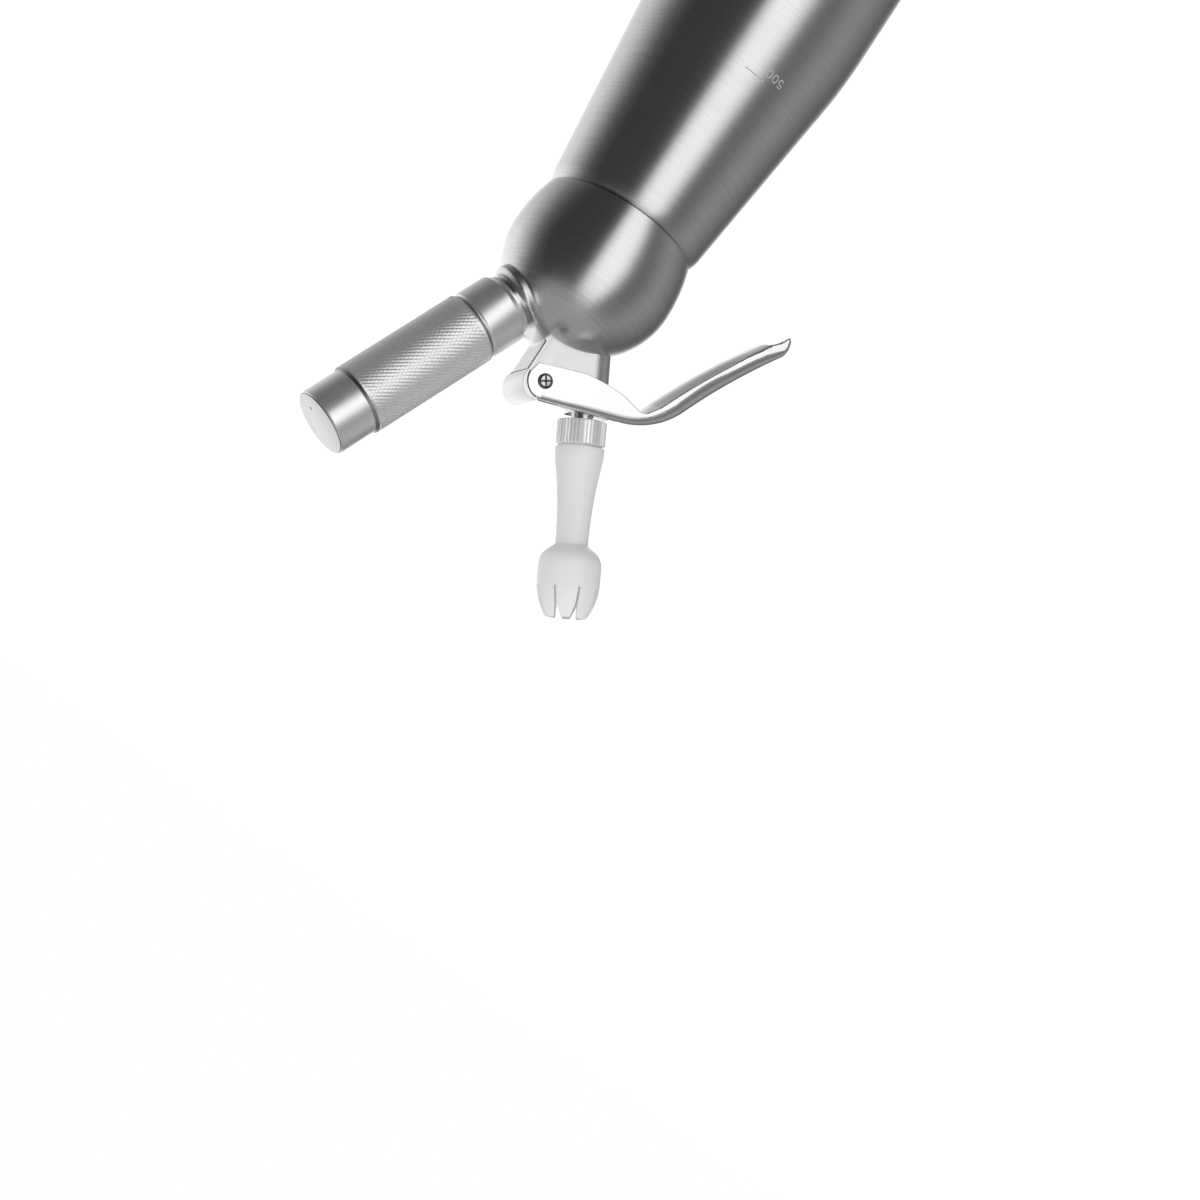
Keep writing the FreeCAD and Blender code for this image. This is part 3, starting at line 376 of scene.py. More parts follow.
metals = {
    "brushedSteel": {"axis": "bottle", "colour": 0.72, "roughness": 0.26, "stretch": 0.85,
                     "rings": 2600.0, "bump": 0.05, "change": 0.06},
    "drawnSteel": {"axis": "bottle", "colour": 0.72, "roughness": 0.23, "stretch": 0.75,
                   "rings": 2600.0, "bump": 0.05, "change": 0.05},
    "holderAluminium": {"axis": "charger", "colour": 0.95, "roughness": 0.33, "stretch": 0.4,
                        "rings": 3200.0, "bump": 0.04, "change": 0.03, "metallic": 0.88},
    "knurledAluminium": {"axis": "charger", "colour": 0.96, "roughness": 0.36, "stretch": 0.0,
                         "rings": 3200.0, "bump": 0.02, "change": 0.03, "metallic": 0.84},
    "ribbedMetal": {"axis": "nozzle", "colour": 0.93, "roughness": 0.24, "stretch": 0.0,
                    "rings": 3200.0, "bump": 0.02, "change": 0.03, "metallic": 0.6},
    "plainSteel": {"axis": "charger", "colour": 0.68, "roughness": 0.2, "stretch": 0.4,
                   "rings": 3200.0, "bump": 0.03, "change": 0.04},
    "valveSteel": {"axis": "nozzle", "colour": 0.68, "roughness": 0.2, "stretch": 0.4,
                   "rings": 3200.0, "bump": 0.03, "change": 0.04},
    "satinCasting": {"axis": "nozzle", "colour": 0.8, "roughness": 0.3, "stretch": 0.0,
                     "rings": 60.0, "bump": 0.02, "change": 0.02},
    "polishedLever": {"axis": "nozzle", "colour": 0.92, "roughness": 0.14, "stretch": 0.0,
                      "rings": 60.0, "bump": 0.01, "change": 0.02},
    # the holder's end face: an unbrushed copy of the holder aluminium, made darker as painted
    # shade
    "shadedCapAluminium": {"axis": "charger", "colour": 0.74, "roughness": 0.36, "stretch": 0.0,
                     "rings": 400.0, "bump": 0.02, "change": 0.02, "metallic": 0.95},
    # painted shade: dark aluminium for the chamfers at the knurl's ends and the cap's edge
    "shadedRingAluminium": {"axis": "charger", "colour": 0.42, "roughness": 0.35, "stretch": 0.0,
                      "rings": 400.0, "bump": 0.02, "change": 0.02},
    # painted shade: near-black steel for the strips, rings and bars that stand for shade in gaps
    # and recesses
    "paintedShadeSteel": {"axis": "nozzle", "colour": 0.14, "roughness": 0.4, "stretch": 0.0,
                       "rings": 400.0, "bump": 0.02, "change": 0.02},
    "platedBrass": {"axis": "nozzle", "colour": 0.7, "roughness": 0.25, "stretch": 0.3,
                    "rings": 2000.0, "bump": 0.03, "change": 0.04},
}


def roughRange(tree, noise, values):
    low, high = (values["roughness"] * share for share in grain["roughSpread"])
    return mapRange(tree, noise, *grain["window"], low, high)


def bumpFinish(tree, shader, height, strength, depth):
    bump = addNode(tree, "ShaderNodeBump")
    bump.inputs["Strength"].default_value = strength
    bump.inputs["Distance"].default_value = depth
    feed(tree, bump.inputs["Height"], height)
    feed(tree, shader.inputs["Normal"], bump.outputs[0])
    output = addNode(tree, "ShaderNodeOutputMaterial")
    tree.links.new(shader.outputs[0], output.inputs["Surface"])


def metalMaterial(name):
    values = metals[name]
    place = axes[values["axis"]]
    material, tree = newMaterial(name)
    vector, coords = objectVector(tree, place)
    marks = addNode(tree, "ShaderNodeGroup", node_tree=grainGroup)
    feed(tree, marks.inputs["Vector"], vector)
    marks.inputs["Ring Scale"].default_value = values["rings"]
    shader = addNode(tree, "ShaderNodeBsdfPrincipled")
    shader.inputs["Metallic"].default_value = values.get("metallic", 1)
    level = values["colour"]
    tone = mapRange(tree, marks.outputs["Rings"], *grain["window"],
                    level - values["change"], level + values["change"])
    colour = addNode(tree, "ShaderNodeCombineColor")
    feed(tree, colour.inputs["Red"], tone)
    feed(tree, colour.inputs["Green"], tone)
    feed(tree, colour.inputs["Blue"], mathNode(tree, "MULTIPLY", tone, grain["warmth"]))
    feed(tree, shader.inputs["Base Color"], colour.outputs[0])
    feed(tree, shader.inputs["Roughness"], roughRange(tree, marks.outputs["Clouds"], values))
    if values["stretch"]:
        shader.inputs["Anisotropic"].default_value = values["stretch"]
        shader.inputs["Anisotropic Rotation"].default_value = grain["turned"]
        feed(tree, shader.inputs["Tangent"], turnedTangent(tree, place, coords))
    bumpFinish(tree, shader, marks.outputs["Rings"], values["bump"], grain["bumpDepth"])
    return material


plastics = {
    "frostedPlastic": {"colour": (0.93, 0.93, 0.92), "roughness": 0.34,
                       "through": 0.3, "soft": 0.2},
    "greyRubber": {"colour": (0.12, 0.12, 0.12), "roughness": 0.6, "through": 0, "soft": 0},
    "whiteRubber": {"colour": (0.8, 0.8, 0.78), "roughness": 0.5, "through": 0, "soft": 0.1},
    "etchedMark": {"colour": (0.42, 0.42, 0.42), "roughness": 0.6, "through": 0, "soft": 0},
}
mottling = {
    "scale": 240,
    "detail": 3,
    "dark": 0.97,
    "light": 1.02,
    "bump": 0.05,
    "bumpDepth": 0.0001,
    "index": 1.49,
    "softDepth": 0.004,
}


def plasticMaterial(name):
    values = plastics[name]
    material, tree = newMaterial(name)
    coords = addNode(tree, "ShaderNodeTexCoord").outputs["Object"]
    mottle = addNode(tree, "ShaderNodeTexNoise")
    feed(tree, mottle.inputs["Vector"], coords)
    mottle.inputs["Scale"].default_value = mottling["scale"]
    mottle.inputs["Detail"].default_value = mottling["detail"]
    dark = tuple(part * mottling["dark"] for part in values["colour"]) + (1,)
    light = tuple(min(1, part * mottling["light"]) for part in values["colour"]) + (1,)
    shader = addNode(tree, "ShaderNodeBsdfPrincipled")
    feed(tree, shader.inputs["Base Color"], mixColour(tree, mottle.outputs["Fac"], dark, light))
    feed(tree, shader.inputs["Roughness"], roughRange(tree, mottle.outputs["Fac"], values))
    shader.inputs["IOR"].default_value = mottling["index"]
    shader.inputs["Transmission Weight"].default_value = values["through"]
    if values["soft"]:
        shader.inputs["Subsurface Weight"].default_value = values["soft"]
        shader.inputs["Subsurface Scale"].default_value = mottling["softDepth"]
        shader.inputs["Subsurface Radius"].default_value = (1, 1, 1)
    bumpFinish(tree, shader, mottle.outputs["Fac"], mottling["bump"], mottling["bumpDepth"])
    return material


materials = {name: metalMaterial(name) for name in metals}
materials.update({name: plasticMaterial(name) for name in plastics})
print("materials ready")


def finishPiece(bm, name, place, material, body, sharp=32, merge=0.002):
    # sharp is the angle in degrees from which an edge stays hard
    bmesh.ops.remove_doubles(bm, verts=bm.verts[:], dist=merge)
    bmesh.ops.transform(bm, matrix=place, verts=bm.verts[:])
    bmesh.ops.recalc_face_normals(bm, faces=bm.faces[:])
    for face in bm.faces:
        face.smooth = True
    for edge in bm.edges:
        edge.smooth = edge.is_manifold and edge.calc_face_angle(0) < math.radians(sharp)
    mesh = bpy.data.meshes.new(name)
    bm.to_mesh(mesh)
    bm.free()
    mesh.materials.append(materials[material])
    piece = bpy.data.objects.new(name, mesh)
    bpy.context.scene.collection.objects.link(piece)
    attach(piece, body)
    return piece


def drawWire(bm, corners, closed=True):
    # corners are (radius, height) or (radius, height, rounding, steps)
    verts = [bm.verts.new((corner[0], 0, corner[1])) for corner in corners]
    for first, second in zip(verts, verts[1:]):
        bm.edges.new((first, second))
    if closed:
        bm.edges.new((verts[-1], verts[0]))
    for vert, corner in zip(verts, corners):
        if len(corner) > 2:
            steps = corner[3] if len(corner) > 3 else 4
            bmesh.ops.bevel(bm, geom=[vert], offset=corner[2], offset_type="OFFSET",
                            segments=steps, profile=0.5, affect="VERTICES", material=-1)


def drawArc(bm, vert, centre, angle, steps):
    spun = bmesh.ops.spin(bm, geom=[vert], cent=(centre[0], 0, centre[1]), axis=(0, 1, 0),
                          dvec=(0, 0, 0), angle=math.radians(angle), steps=steps,
                          use_merge=False, use_normal_flip=False, use_duplicate=False)
    return [item for item in spun["geom_last"] if isinstance(item, bmesh.types.BMVert)][0]


def spinRound(bm, steps):
    bmesh.ops.spin(bm, geom=bm.verts[:] + bm.edges[:], cent=(0, 0, 0), axis=(0, 0, 1),
                   dvec=(0, 0, 0), angle=turn, steps=steps,
                   use_merge=True, use_normal_flip=False, use_duplicate=False)


def copyNode(name, merge=1e-6, flat=0.5):
    # flat is the angle in degrees below which faces are joined
    bm = bmesh.new()
    bm.from_mesh(nodes[name].data)
    bmesh.ops.remove_doubles(bm, verts=bm.verts[:], dist=merge)
    bmesh.ops.dissolve_limit(bm, angle_limit=math.radians(flat), verts=bm.verts[:],
                             edges=bm.edges[:], use_dissolve_boundaries=False)
    return bm


def liveCopy(bm, name, modifiers):
    # the mesh with its modifiers worked in
    mesh = bpy.data.meshes.new(name)
    bm.to_mesh(mesh)
    bm.free()
    blank = bpy.data.objects.new(name, mesh)
    bpy.context.scene.collection.objects.link(blank)
    for kind, settings in modifiers:
        modifier = blank.modifiers.new(kind, kind)
        for key, value in settings.items():
            setattr(modifier, key, value)
    graph = bpy.context.evaluated_depsgraph_get()
    done = bpy.data.meshes.new_from_object(blank.evaluated_get(graph))
    bpy.data.objects.remove(blank)
    bm = bmesh.new()
    bm.from_mesh(done)
    return bm


def carve(bm, name, cutters, merge=0.002):
    # takes each cutter's shape out of the mesh
    tools = []
    for cutter in cutters:
        bmesh.ops.recalc_face_normals(cutter, faces=cutter.faces[:])
        mesh = bpy.data.meshes.new("cutter")
        cutter.to_mesh(mesh)
        cutter.free()
        tools.append(bpy.data.objects.new("cutter", mesh))
        bpy.context.scene.collection.objects.link(tools[-1])
    bmesh.ops.remove_doubles(bm, verts=bm.verts[:], dist=merge)
    bmesh.ops.recalc_face_normals(bm, faces=bm.faces[:])
    steps = [("BOOLEAN", {"operation": "DIFFERENCE", "solver": "EXACT", "object": tool})
             for tool in tools]
    bm = liveCopy(bm, name, steps)
    for tool in tools:
        bpy.data.objects.remove(tool)
    return bm


def drum(radius, low, high, place=Matrix.Identity(4), steps=64):
    bm = bmesh.new()
    middle = Matrix.Translation((0, 0, (low + high) / 2))
    bmesh.ops.create_cone(bm, cap_ends=True, segments=steps, radius1=radius, radius2=radius,
                          depth=high - low, matrix=place @ middle)
    return bm


def slab(across, along, tall, middle):
    bm = bmesh.new()
    size = Matrix.Diagonal((across, along, tall, 1))
    bmesh.ops.create_cube(bm, size=1, matrix=Matrix.Translation(middle) @ size)
    return bm


bottleSizes = {
    "steps": 160,
    # radius and height, and the rounding and its steps at a corner
    "outline": (
        (0.0, 1.2), (26.0, 1.2, 1.0, 3), (29.0, 0.0, 1.0, 3), (36.6, 0.0, 3.4, 6),
        (40.0, 3.6, 3.0, 6), (40.0, 78.0, 10.0, 10), (29.9, 166.6, 2.4, 6),
        (27.6, 169.9, 0.6, 3), (25.0, 169.9), (25.0, 182.0, 0.5, 3), (23.2, 182.0, 0.5, 3),
        (23.2, 168.2, 2.0, 4), (27.0, 166.0, 2.0, 4), (39.0, 78.0, 10.0, 8),
        (39.0, 5.0, 3.0, 5), (36.0, 2.0, 1.0, 3), (0.0, 2.2),
    ),
}


def makeBottle():
    bm = bmesh.new()
    drawWire(bm, bottleSizes["outline"], closed=False)
    spinRound(bm, bottleSizes["steps"])
    bottle = finishPiece(bm, "bottleBody", axisPlace("bottle"), "brushedSteel",
                         "bottle_body")
    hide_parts("bottle")


markSizes = {
    "taper": (40.0, 78.0, -0.114),
    "lift": 0.03,
    "width": 0.42,
    "step": 0.6,
    "line": (-5.8, 2.9, 107.6),
    "digits": (-11.6, -8.75, -5.9),
    "height": 2.9,
    "wide": 1.9,
    "middle": 103.9,
    "ovalSteps": 24,
    # the round part of the five, by angle
    "bowl": (1.9, 1.4, 0.9, 0.4, -0.1, -0.6, -1.1, -1.6, -2.1, -2.5),
    "bowlMiddle": -0.36,
    "bowlHeight": 0.64,
    "shoulder": (0.8, 0.85, 0.2),
    "merge": 0.0001,
}


def ribbonFaces(bm, points, width):
    # a flat ribbon along the points, x round the bottle and y up it
    spots = [Vector(point) for point in points]
    rails = []
    for number, spot in enumerate(spots):
        ahead = spots[min(number + 1, len(spots) - 1)]
        along = (ahead - spots[max(number - 1, 0)]).normalized()
        across = Vector((-along.y, along.x)) * width / 2
        rails.append([bm.verts.new((*(spot + side * across), 0)) for side in (1, -1)])
    for first, second in zip(rails, rails[1:]):
        bm.faces.new((first[0], first[1], second[1], second[0]))


def makeFillMark():
    sizes = markSizes
    wide, tall = sizes["wide"] / 2, sizes["height"] / 2
    angles = [turn * step / sizes["ovalSteps"] for step in range(sizes["ovalSteps"] + 1)]
    oval = [(wide * math.cos(angle), tall * math.sin(angle)) for angle in angles]
    middle, rise = sizes["bowlMiddle"], sizes["bowlHeight"]
    bowl = [(wide * math.cos(angle), tall * (middle + rise * math.sin(angle)))
            for angle in sizes["bowl"]]
    top, foot, drop = sizes["shoulder"]
    five = [(wide, tall), (-wide * top, tall), (-wide * foot, tall * drop)] + bowl
    bm = bmesh.new()
    for place, shape in zip(sizes["digits"], (five, oval, oval)):
        spots = [(place + x, sizes["middle"] + y) for x, y in shape]
        ribbonFaces(bm, spots, sizes["width"])
    start, end, height = sizes["line"]
    count = round((end - start) / sizes["step"])
    line = [(start + (end - start) * step / count, height) for step in range(count + 1)]
    ribbonFaces(bm, line, sizes["width"])
    base, low, slope = sizes["taper"]
    for vert in bm.verts:
        radius = base + (vert.co.y - low) * slope + sizes["lift"]
        angle = vert.co.x / radius
        height = vert.co.y
        vert.co = (radius * math.sin(angle), -radius * math.cos(angle), height)
    mark = finishPiece(bm, "fillMark", axisPlace("bottle"), "etchedMark",
                       "bottle_body", merge=sizes["merge"])
    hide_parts("bottle")


domeSizes = {
    "steps": 160,
    "rim": (29.4, 170.6),
    "centre": 188.0,
    "wall": 1.2,
    "flareCentre": -29.9,
    "flareTurn": 16.35,
    "flareSteps": 8,
    "arcSteps": 48,
    # radius and the heights along the tilted axis
    "bushHole": (6.05, 26.6, 49.6),
    "inletHole": (6.45, 35.5, 58.0),
}


def makeDome():
    sizes = domeSizes
    bm = bmesh.new()
    rim, height = sizes["rim"]
    flare = (sizes["flareCentre"], sizes["centre"])
    heart = (0, sizes["centre"])
    starts = [bm.verts.new((reach, 0, height)) for reach in (rim, rim - sizes["wall"])]
    for start in starts:
        side = drawArc(bm, start, flare, -sizes["flareTurn"], sizes["flareSteps"])
        drawArc(bm, side, heart, -90, sizes["arcSteps"])
    bm.edges.new(starts)
    spinRound(bm, sizes["steps"])
    holes = []
    for axis, key in (("nozzle", "bushHole"), ("charger", "inletHole")):
        radius, low, high = sizes[key]
        place = Matrix.Scale(1 / mm, 4) @ axisPlace(axis)
        holes.append(drum(radius, low, high, place))
    bm = carve(bm, "dome", holes)
    dome = finishPiece(bm, "headDome", Matrix.Scale(mm, 4), "drawnSteel",
                       "head_body")
    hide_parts("head_shell")


makeBottle()
makeFillMark()
makeDome()
print("bottle and dome made")


castingSizes = {
    "saddle": 31.92,
    "saddleNear": 0.05,
    "saddleSink": 0.6,
    "voxel": 0.36,
    "smoothing": 6,
    "strength": 0.5,
    "noseHalf": 10.4,
    "noseSeat": 6.84,
    # the cast block under the nose piece: from this half width on it is narrowed to this share
    "noseSink": (8.2, 0.8),
    # radii and half widths of the dark band of painted shade in the gaps beside the cheeks
    "gap": (6.5, 6.82, 8.7, 10.33),
    "noseFront": 1.57,
    "noseLedge": 234.0,
    "noseStraight": 236.0,
    "noseRound": 6.12,
    "noseTurn": 112.5,
    "seatTurn": 93.0,
    "noseEdge": 0.12,
    "noseEdgeAngle": 57.3,
    "seatKeep": 0.2,
    "arcSteps": 24,
    # height, front and depth of a dark strip of painted shade under the nose's ledge
    "shadeLine": (233.7, 234.05),
    "shadeLineFront": 1.62,
    "shadeLineDepth": 0.4,
    "bodyHalf": 8.1,
}


def makeCasting():
    blank = copyNode("valve_body")
    heart = Vector((0, 0, domeSizes["centre"] * mm))
    seat = castingSizes["saddle"] * mm
    for vert in blank.verts:
        away = vert.co - heart
        if abs(away.length - seat) < castingSizes["saddleNear"] * mm:
            vert.co = heart + away * (1 - castingSizes["saddleSink"] * mm / seat)
    half, share = castingSizes["noseSink"]
    for vert in blank.verts:
        beyond = abs(vert.co.y) - half * mm
        if vert.co.z > castingSizes["noseLedge"] * mm and beyond > 0:
            vert.co.y -= math.copysign(beyond * (1 - share), vert.co.y)
    remesh = {"mode": "VOXEL", "voxel_size": castingSizes["voxel"] * mm}
    smooth = {"factor": castingSizes["strength"], "iterations": castingSizes["smoothing"]}
    bm = liveCopy(blank, "castingBlank", (("REMESH", remesh), ("SMOOTH", smooth)))
    casting = finishPiece(bm, "valveCasting", Matrix.Identity(4), "satinCasting",
                          "head_body", sharp=70, merge=1e-7)
    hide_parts("valve_body")


def makeNose():
    # the nose is as wide as the lever, with round seats for the lever's cheeks
    sizes = castingSizes
    pivot = (leverPivot["x"], leverPivot["z"])
    bm = bmesh.new()
    seatStart = bm.verts.new((pivot[0] + sizes["noseSeat"], 0, sizes["noseLedge"]))
    ledge = bm.verts.new((sizes["noseFront"], 0, sizes["noseLedge"]))
    front = bm.verts.new((sizes["noseFront"], 0, sizes["noseStraight"]))
    seatEnd = drawArc(bm, seatStart, pivot, -sizes["seatTurn"], sizes["arcSteps"])
    middle = (sizes["noseFront"] - sizes["noseRound"], sizes["noseStraight"])
    top = drawArc(bm, front, middle, -sizes["noseTurn"], sizes["arcSteps"])
    for pair in ((seatStart, ledge), (ledge, front), (top, seatEnd)):
        bm.edges.new(pair)
    bmesh.ops.edgeloop_fill(bm, edges=bm.edges[:])
    grown = bmesh.ops.extrude_face_region(bm, geom=bm.faces[:])
    moved = [item for item in grown["geom"] if isinstance(item, bmesh.types.BMVert)]
    bmesh.ops.translate(bm, verts=moved, vec=(0, sizes["noseHalf"], 0))
    bmesh.ops.translate(bm, verts=[vert for vert in bm.verts if vert not in moved],
                        vec=(0, -sizes["noseHalf"], 0))
    keep = sizes["noseSeat"] + sizes["seatKeep"]
    outer = [edge for edge in bm.edges
             if edge.calc_face_angle(0) > math.radians(sizes["noseEdgeAngle"])
             and all(math.hypot(vert.co.x - pivot[0], vert.co.z - pivot[1]) > keep
                     for vert in edge.verts)]
    bmesh.ops.bevel(bm, geom=outer, offset=sizes["noseEdge"], offset_type="OFFSET", segments=4,
                    profile=0.5, affect="EDGES", material=-1, clamp_overlap=True)
    nose = finishPiece(bm, "castingNose", Matrix.Scale(mm, 4), "satinCasting",
                       "head_body", sharp=40)
    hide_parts("valve_body")


def makeShadeLines():
    # painted shade: dark strips under the nose's ledge and round the cheeks, where the casting
    # lies in shade
    sizes = castingSizes
    low, high = sizes["shadeLine"]
    deep = sizes["shadeLineDepth"]
    bm = slab(deep, 2 * sizes["bodyHalf"], high - low,
              (sizes["shadeLineFront"] - deep / 2, 0, (low + high) / 2))
    inner, outer, near, far = sizes["gap"]
    section = ((inner, near), (outer, near), (outer, far), (inner, far))
    for side in (-1, 1):
        corners = [bm.verts.new((leverPivot["x"] + reach, side * half, leverPivot["z"]))
                   for reach, half in section]
        band = bm.faces.new(corners)
        bmesh.ops.spin(bm, geom=[band], cent=(leverPivot["x"], 0, leverPivot["z"]),
                       axis=(0, 1, 0), dvec=(0, 0, 0), angle=-math.radians(sizes["seatTurn"]),
                       steps=sizes["arcSteps"], use_merge=False, use_duplicate=False)
    shadeLine = finishPiece(bm, "noseShadeLines", Matrix.Scale(mm, 4), "paintedShadeSteel",
                       "head_body")
    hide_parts("valve_body")


makeCasting()
makeNose()
makeShadeLines()
print("casting made")


screwSizes = {
    "length": 8.0,
    "thread": 1.3,
    "shank": 2.0,
    "under": 10.4,
    "disc": 1.95,
    "rim": 2.75,
    "rimTop": 10.85,
    "rimFoot": 0.2,
    "rimLip": 0.15,
    "rimDrop": 0.1,
    "top": 11.12,
    "topRound": (0.12, 3),
    # length, width and depth of the grooves, and the play of the dark bars of painted shade in
    # them
    "cross": (3.9, 0.8, 0.3),
    "barPlay": (0.1, 0.02),
    "barHeight": 0.1,
    "barLift": 0.06,
    "turned": 35.2,
    "steps": 48,
}


def makeScrew():
    sizes = screwSizes
    place = Matrix.Translation((leverPivot["x"], 0, leverPivot["z"]))
    place = Matrix.Scale(mm, 4) @ place @ Matrix.Rotation(math.radians(90), 4, "X")
    place = place @ Matrix.Rotation(math.radians(sizes["turned"]), 4, "Z")
    top, disc = sizes["top"], sizes["disc"]
    bm = bmesh.new()
    drawWire(bm, ((0, -sizes["length"]), (sizes["thread"], -sizes["length"]),
                  (sizes["thread"], 0), (sizes["shank"], 0), (sizes["shank"], sizes["under"]),
                  (disc, sizes["under"]), (disc, top, *sizes["topRound"]), (0, top)),
             closed=False)
    spinRound(bm, sizes["steps"])
    length, thin, deep = sizes["cross"]
    grooves = [slab(across, along, 2 * deep, (0, 0, top))
               for across, along in ((length, thin), (thin, length))]
    body = carve(bm, "screw", grooves)
    # painted shade: a dark ring round the head and dark bars down in the cross grooves
    rim = bmesh.new()
    low, reach, high = sizes["under"], sizes["rim"], sizes["rimTop"]
    drawWire(rim, ((disc, low), (reach, low), (reach, low + sizes["rimFoot"]),
                   (disc + sizes["rimLip"], high), (disc, high - sizes["rimDrop"])))
    spinRound(rim, sizes["steps"])
    cross = bmesh.new()
    endPlay, sidePlay = sizes["barPlay"]
    for across, along in ((2 * disc, thin), (thin, 2 * disc)):
        size = Matrix.Diagonal((across - endPlay, along - sidePlay, sizes["barHeight"], 1))
        spot = Matrix.Translation((0, 0, top - deep + sizes["barLift"]))
        bmesh.ops.create_cube(cross, size=1, matrix=spot @ size)
    for shape, name, finish in ((body, "screwBody", "plainSteel"),
                                (rim, "screwShadeRing", "paintedShadeSteel"),
                                (cross, "screwCrossShade", "paintedShadeSteel")):
        piece = finishPiece(shape, name, place, finish, "lever_body")
        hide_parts("pivot_screw")


makeScrew()


leverSizes = {
    "halfWidth": 10.35,
    "onSide": 0.01,
    "widest": 4.8,
    "segments": 6,
    "cuts": (-8, -18, -30, -38, -43, -48, -53, -58, -63, -67, -70, -73, -76, -79, -82, -85),
    # the screw's hole stays sharp, and the front is rounded by angle
    "hole": 3,
    "frontFrom": 1.65,
    "innerFacing": -0.15,
    "edgeAngle": 0.4,
    # edge rounding by place behind the pivot
    "outer": ((2, 1.2), (-5, 1.9), (-12, 2.6), (-38, 2.6), (-45, 2.9), (-50, 3.9),
              (-57, 4.5), (-63, 4.7), (-70, 3.8), (-76, 3.6), (-82, 3.2), (-86, 2.0), (-90, 0.9)),
    "inner": ((2, 0.55), (-60, 0.45), (-68, 0.6), (-73, 1.1), (-77, 1.3), (-82, 0.8),
              (-85, 0.6), (-90, 0.5)),
    "front": (-0.5, 1.3, 0.3, 0.45),
    # radius, growth, and the angles between which the cheek grows
    "cheek": (6.25, 0.23, -0.55, 1.45),
    "cheekNear": 0.1,
    "plainFrom": -8.5,
    "plainFacing": 0.99,
    "crown": 2.15,
    "crownDrop": 1.8,
    "crownFrom": -37.0,
    "crownShare": ((-37, 0), (-43, 1), (-66, 1), (-72, 0.75), (-77, 0.8), (-82, 0.5),
                   (-86, 0.1), (-95, 0)),
    "crownCuts": (-7.0, -4.8, -2.4, 0.0, 2.4, 4.8, 7.0),
    "crownFacing": (-0.3, 0.4),
    "cutNear": 1e-4,
}


def valueAt(table, spot):
    # the tables run from the front to the back
    for (first, low), (second, high) in zip(table, table[1:]):
        if spot >= second:
            share = min(1, max(0, (first - spot) / (first - second)))
            return low + (high - low) * share
    return table[-1][1]


def leverRounding(edge, side):
    middle = (edge.verts[0].co + edge.verts[1].co) / 2
    if math.hypot(middle.x, middle.z) < leverSizes["hole"]:
        return 0
    if middle.x > leverSizes["frontFrom"]:
        start, end, low, high = leverSizes["front"]
        share = (math.atan2(middle.z, middle.x) - start) / (end - start)
        return low + (high - low) * min(1, max(0, share))
    inner = side.normal.z < leverSizes["innerFacing"]
    return valueAt(leverSizes["inner" if inner else "outer"], middle.x)


def crownHandle(bm):
    # the handle's inner side is full in the middle
    sizes = leverSizes
    inward, sideways = sizes["crownFacing"]

    def inside():
        return [face for face in bm.faces
                if face.normal.z < inward and abs(face.normal.y) < sideways
                and face.calc_center_median().x < sizes["crownFrom"]]

    for cut in sizes["crownCuts"]:
        faces = inside()
        edges = {edge for face in faces for edge in face.edges}
        verts = {vert for face in faces for vert in face.verts}
        bmesh.ops.bisect_plane(bm, geom=list(verts) + list(edges) + faces,
                               dist=sizes["cutNear"], plane_co=(0, cut, 0), plane_no=(0, 1, 0))
    moves = {}
    for face in inside():
        for vert in face.verts:
            moves[vert] = moves.get(vert, Vector()) + face.normal
    for vert, push in moves.items():
        share = valueAt(sizes["crownShare"], vert.co.x)
        rise = sizes["crown"] * (1 - (vert.co.y / sizes["halfWidth"]) ** 2) - sizes["crownDrop"]
        vert.co += push.normalized() * rise * share


def makeLever():
    sizes = leverSizes
    bm = copyNode("lever")
    bmesh.ops.transform(bm, matrix=leverPlace().inverted(), verts=bm.verts[:])
    radius, growth, start, end = sizes["cheek"]
    for vert in bm.verts:
        reach = math.hypot(vert.co.x, vert.co.z)
        share = (math.atan2(vert.co.z, vert.co.x) - start) / (end - start)
        if abs(reach - radius) < sizes["cheekNear"] and 0 < share < 1:
            spread = 1 + growth * math.sin(math.pi * share) ** 0.5 / reach
            vert.co.x *= spread
            vert.co.z *= spread
    for cut in sizes["cuts"]:
        bmesh.ops.bisect_plane(bm, geom=bm.verts[:] + bm.edges[:] + bm.faces[:],
                               dist=sizes["cutNear"], plane_co=(cut, 0, 0), plane_no=(1, 0, 0))
    bm.normal_update()
    # the side faces need no cuts
    plain = [edge for edge in bm.edges if len(edge.link_faces) == 2
             and all(abs(face.normal.y) > sizes["plainFacing"] for face in edge.link_faces)
             and max(vert.co.x for vert in edge.verts) < sizes["plainFrom"]]
    bmesh.ops.dissolve_edges(bm, edges=plain, use_verts=False)
    bm.normal_update()
    weights = bm.edges.layers.float.new("bevel_weight_edge")
    for edge in bm.edges:
        onSide = all(abs(abs(vert.co.y) - sizes["halfWidth"]) < sizes["onSide"]
                     for vert in edge.verts)
        if onSide and edge.calc_face_angle(0) > sizes["edgeAngle"]:
            side = min(edge.link_faces, key=lambda face: abs(face.normal.y))
            edge[weights] = leverRounding(edge, side) / sizes["widest"]
    crownHandle(bm)
    lever = finishPiece(bm, "squeezeLever", leverPlace(), "polishedLever",
                        "lever_body", sharp=40)
    bevel = lever.modifiers.new("bevel", "BEVEL")
    bevel.limit_method = "WEIGHT"
    bevel.width = sizes["widest"] * mm
    bevel.segments = sizes["segments"]
    bevel.use_clamp_overlap = False
    even = lever.modifiers.new("evenNormals", "WEIGHTED_NORMAL")
    even.keep_sharp = True
    lever.visible_glossy = False
    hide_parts("lever")


makeLever()
print("lever made")


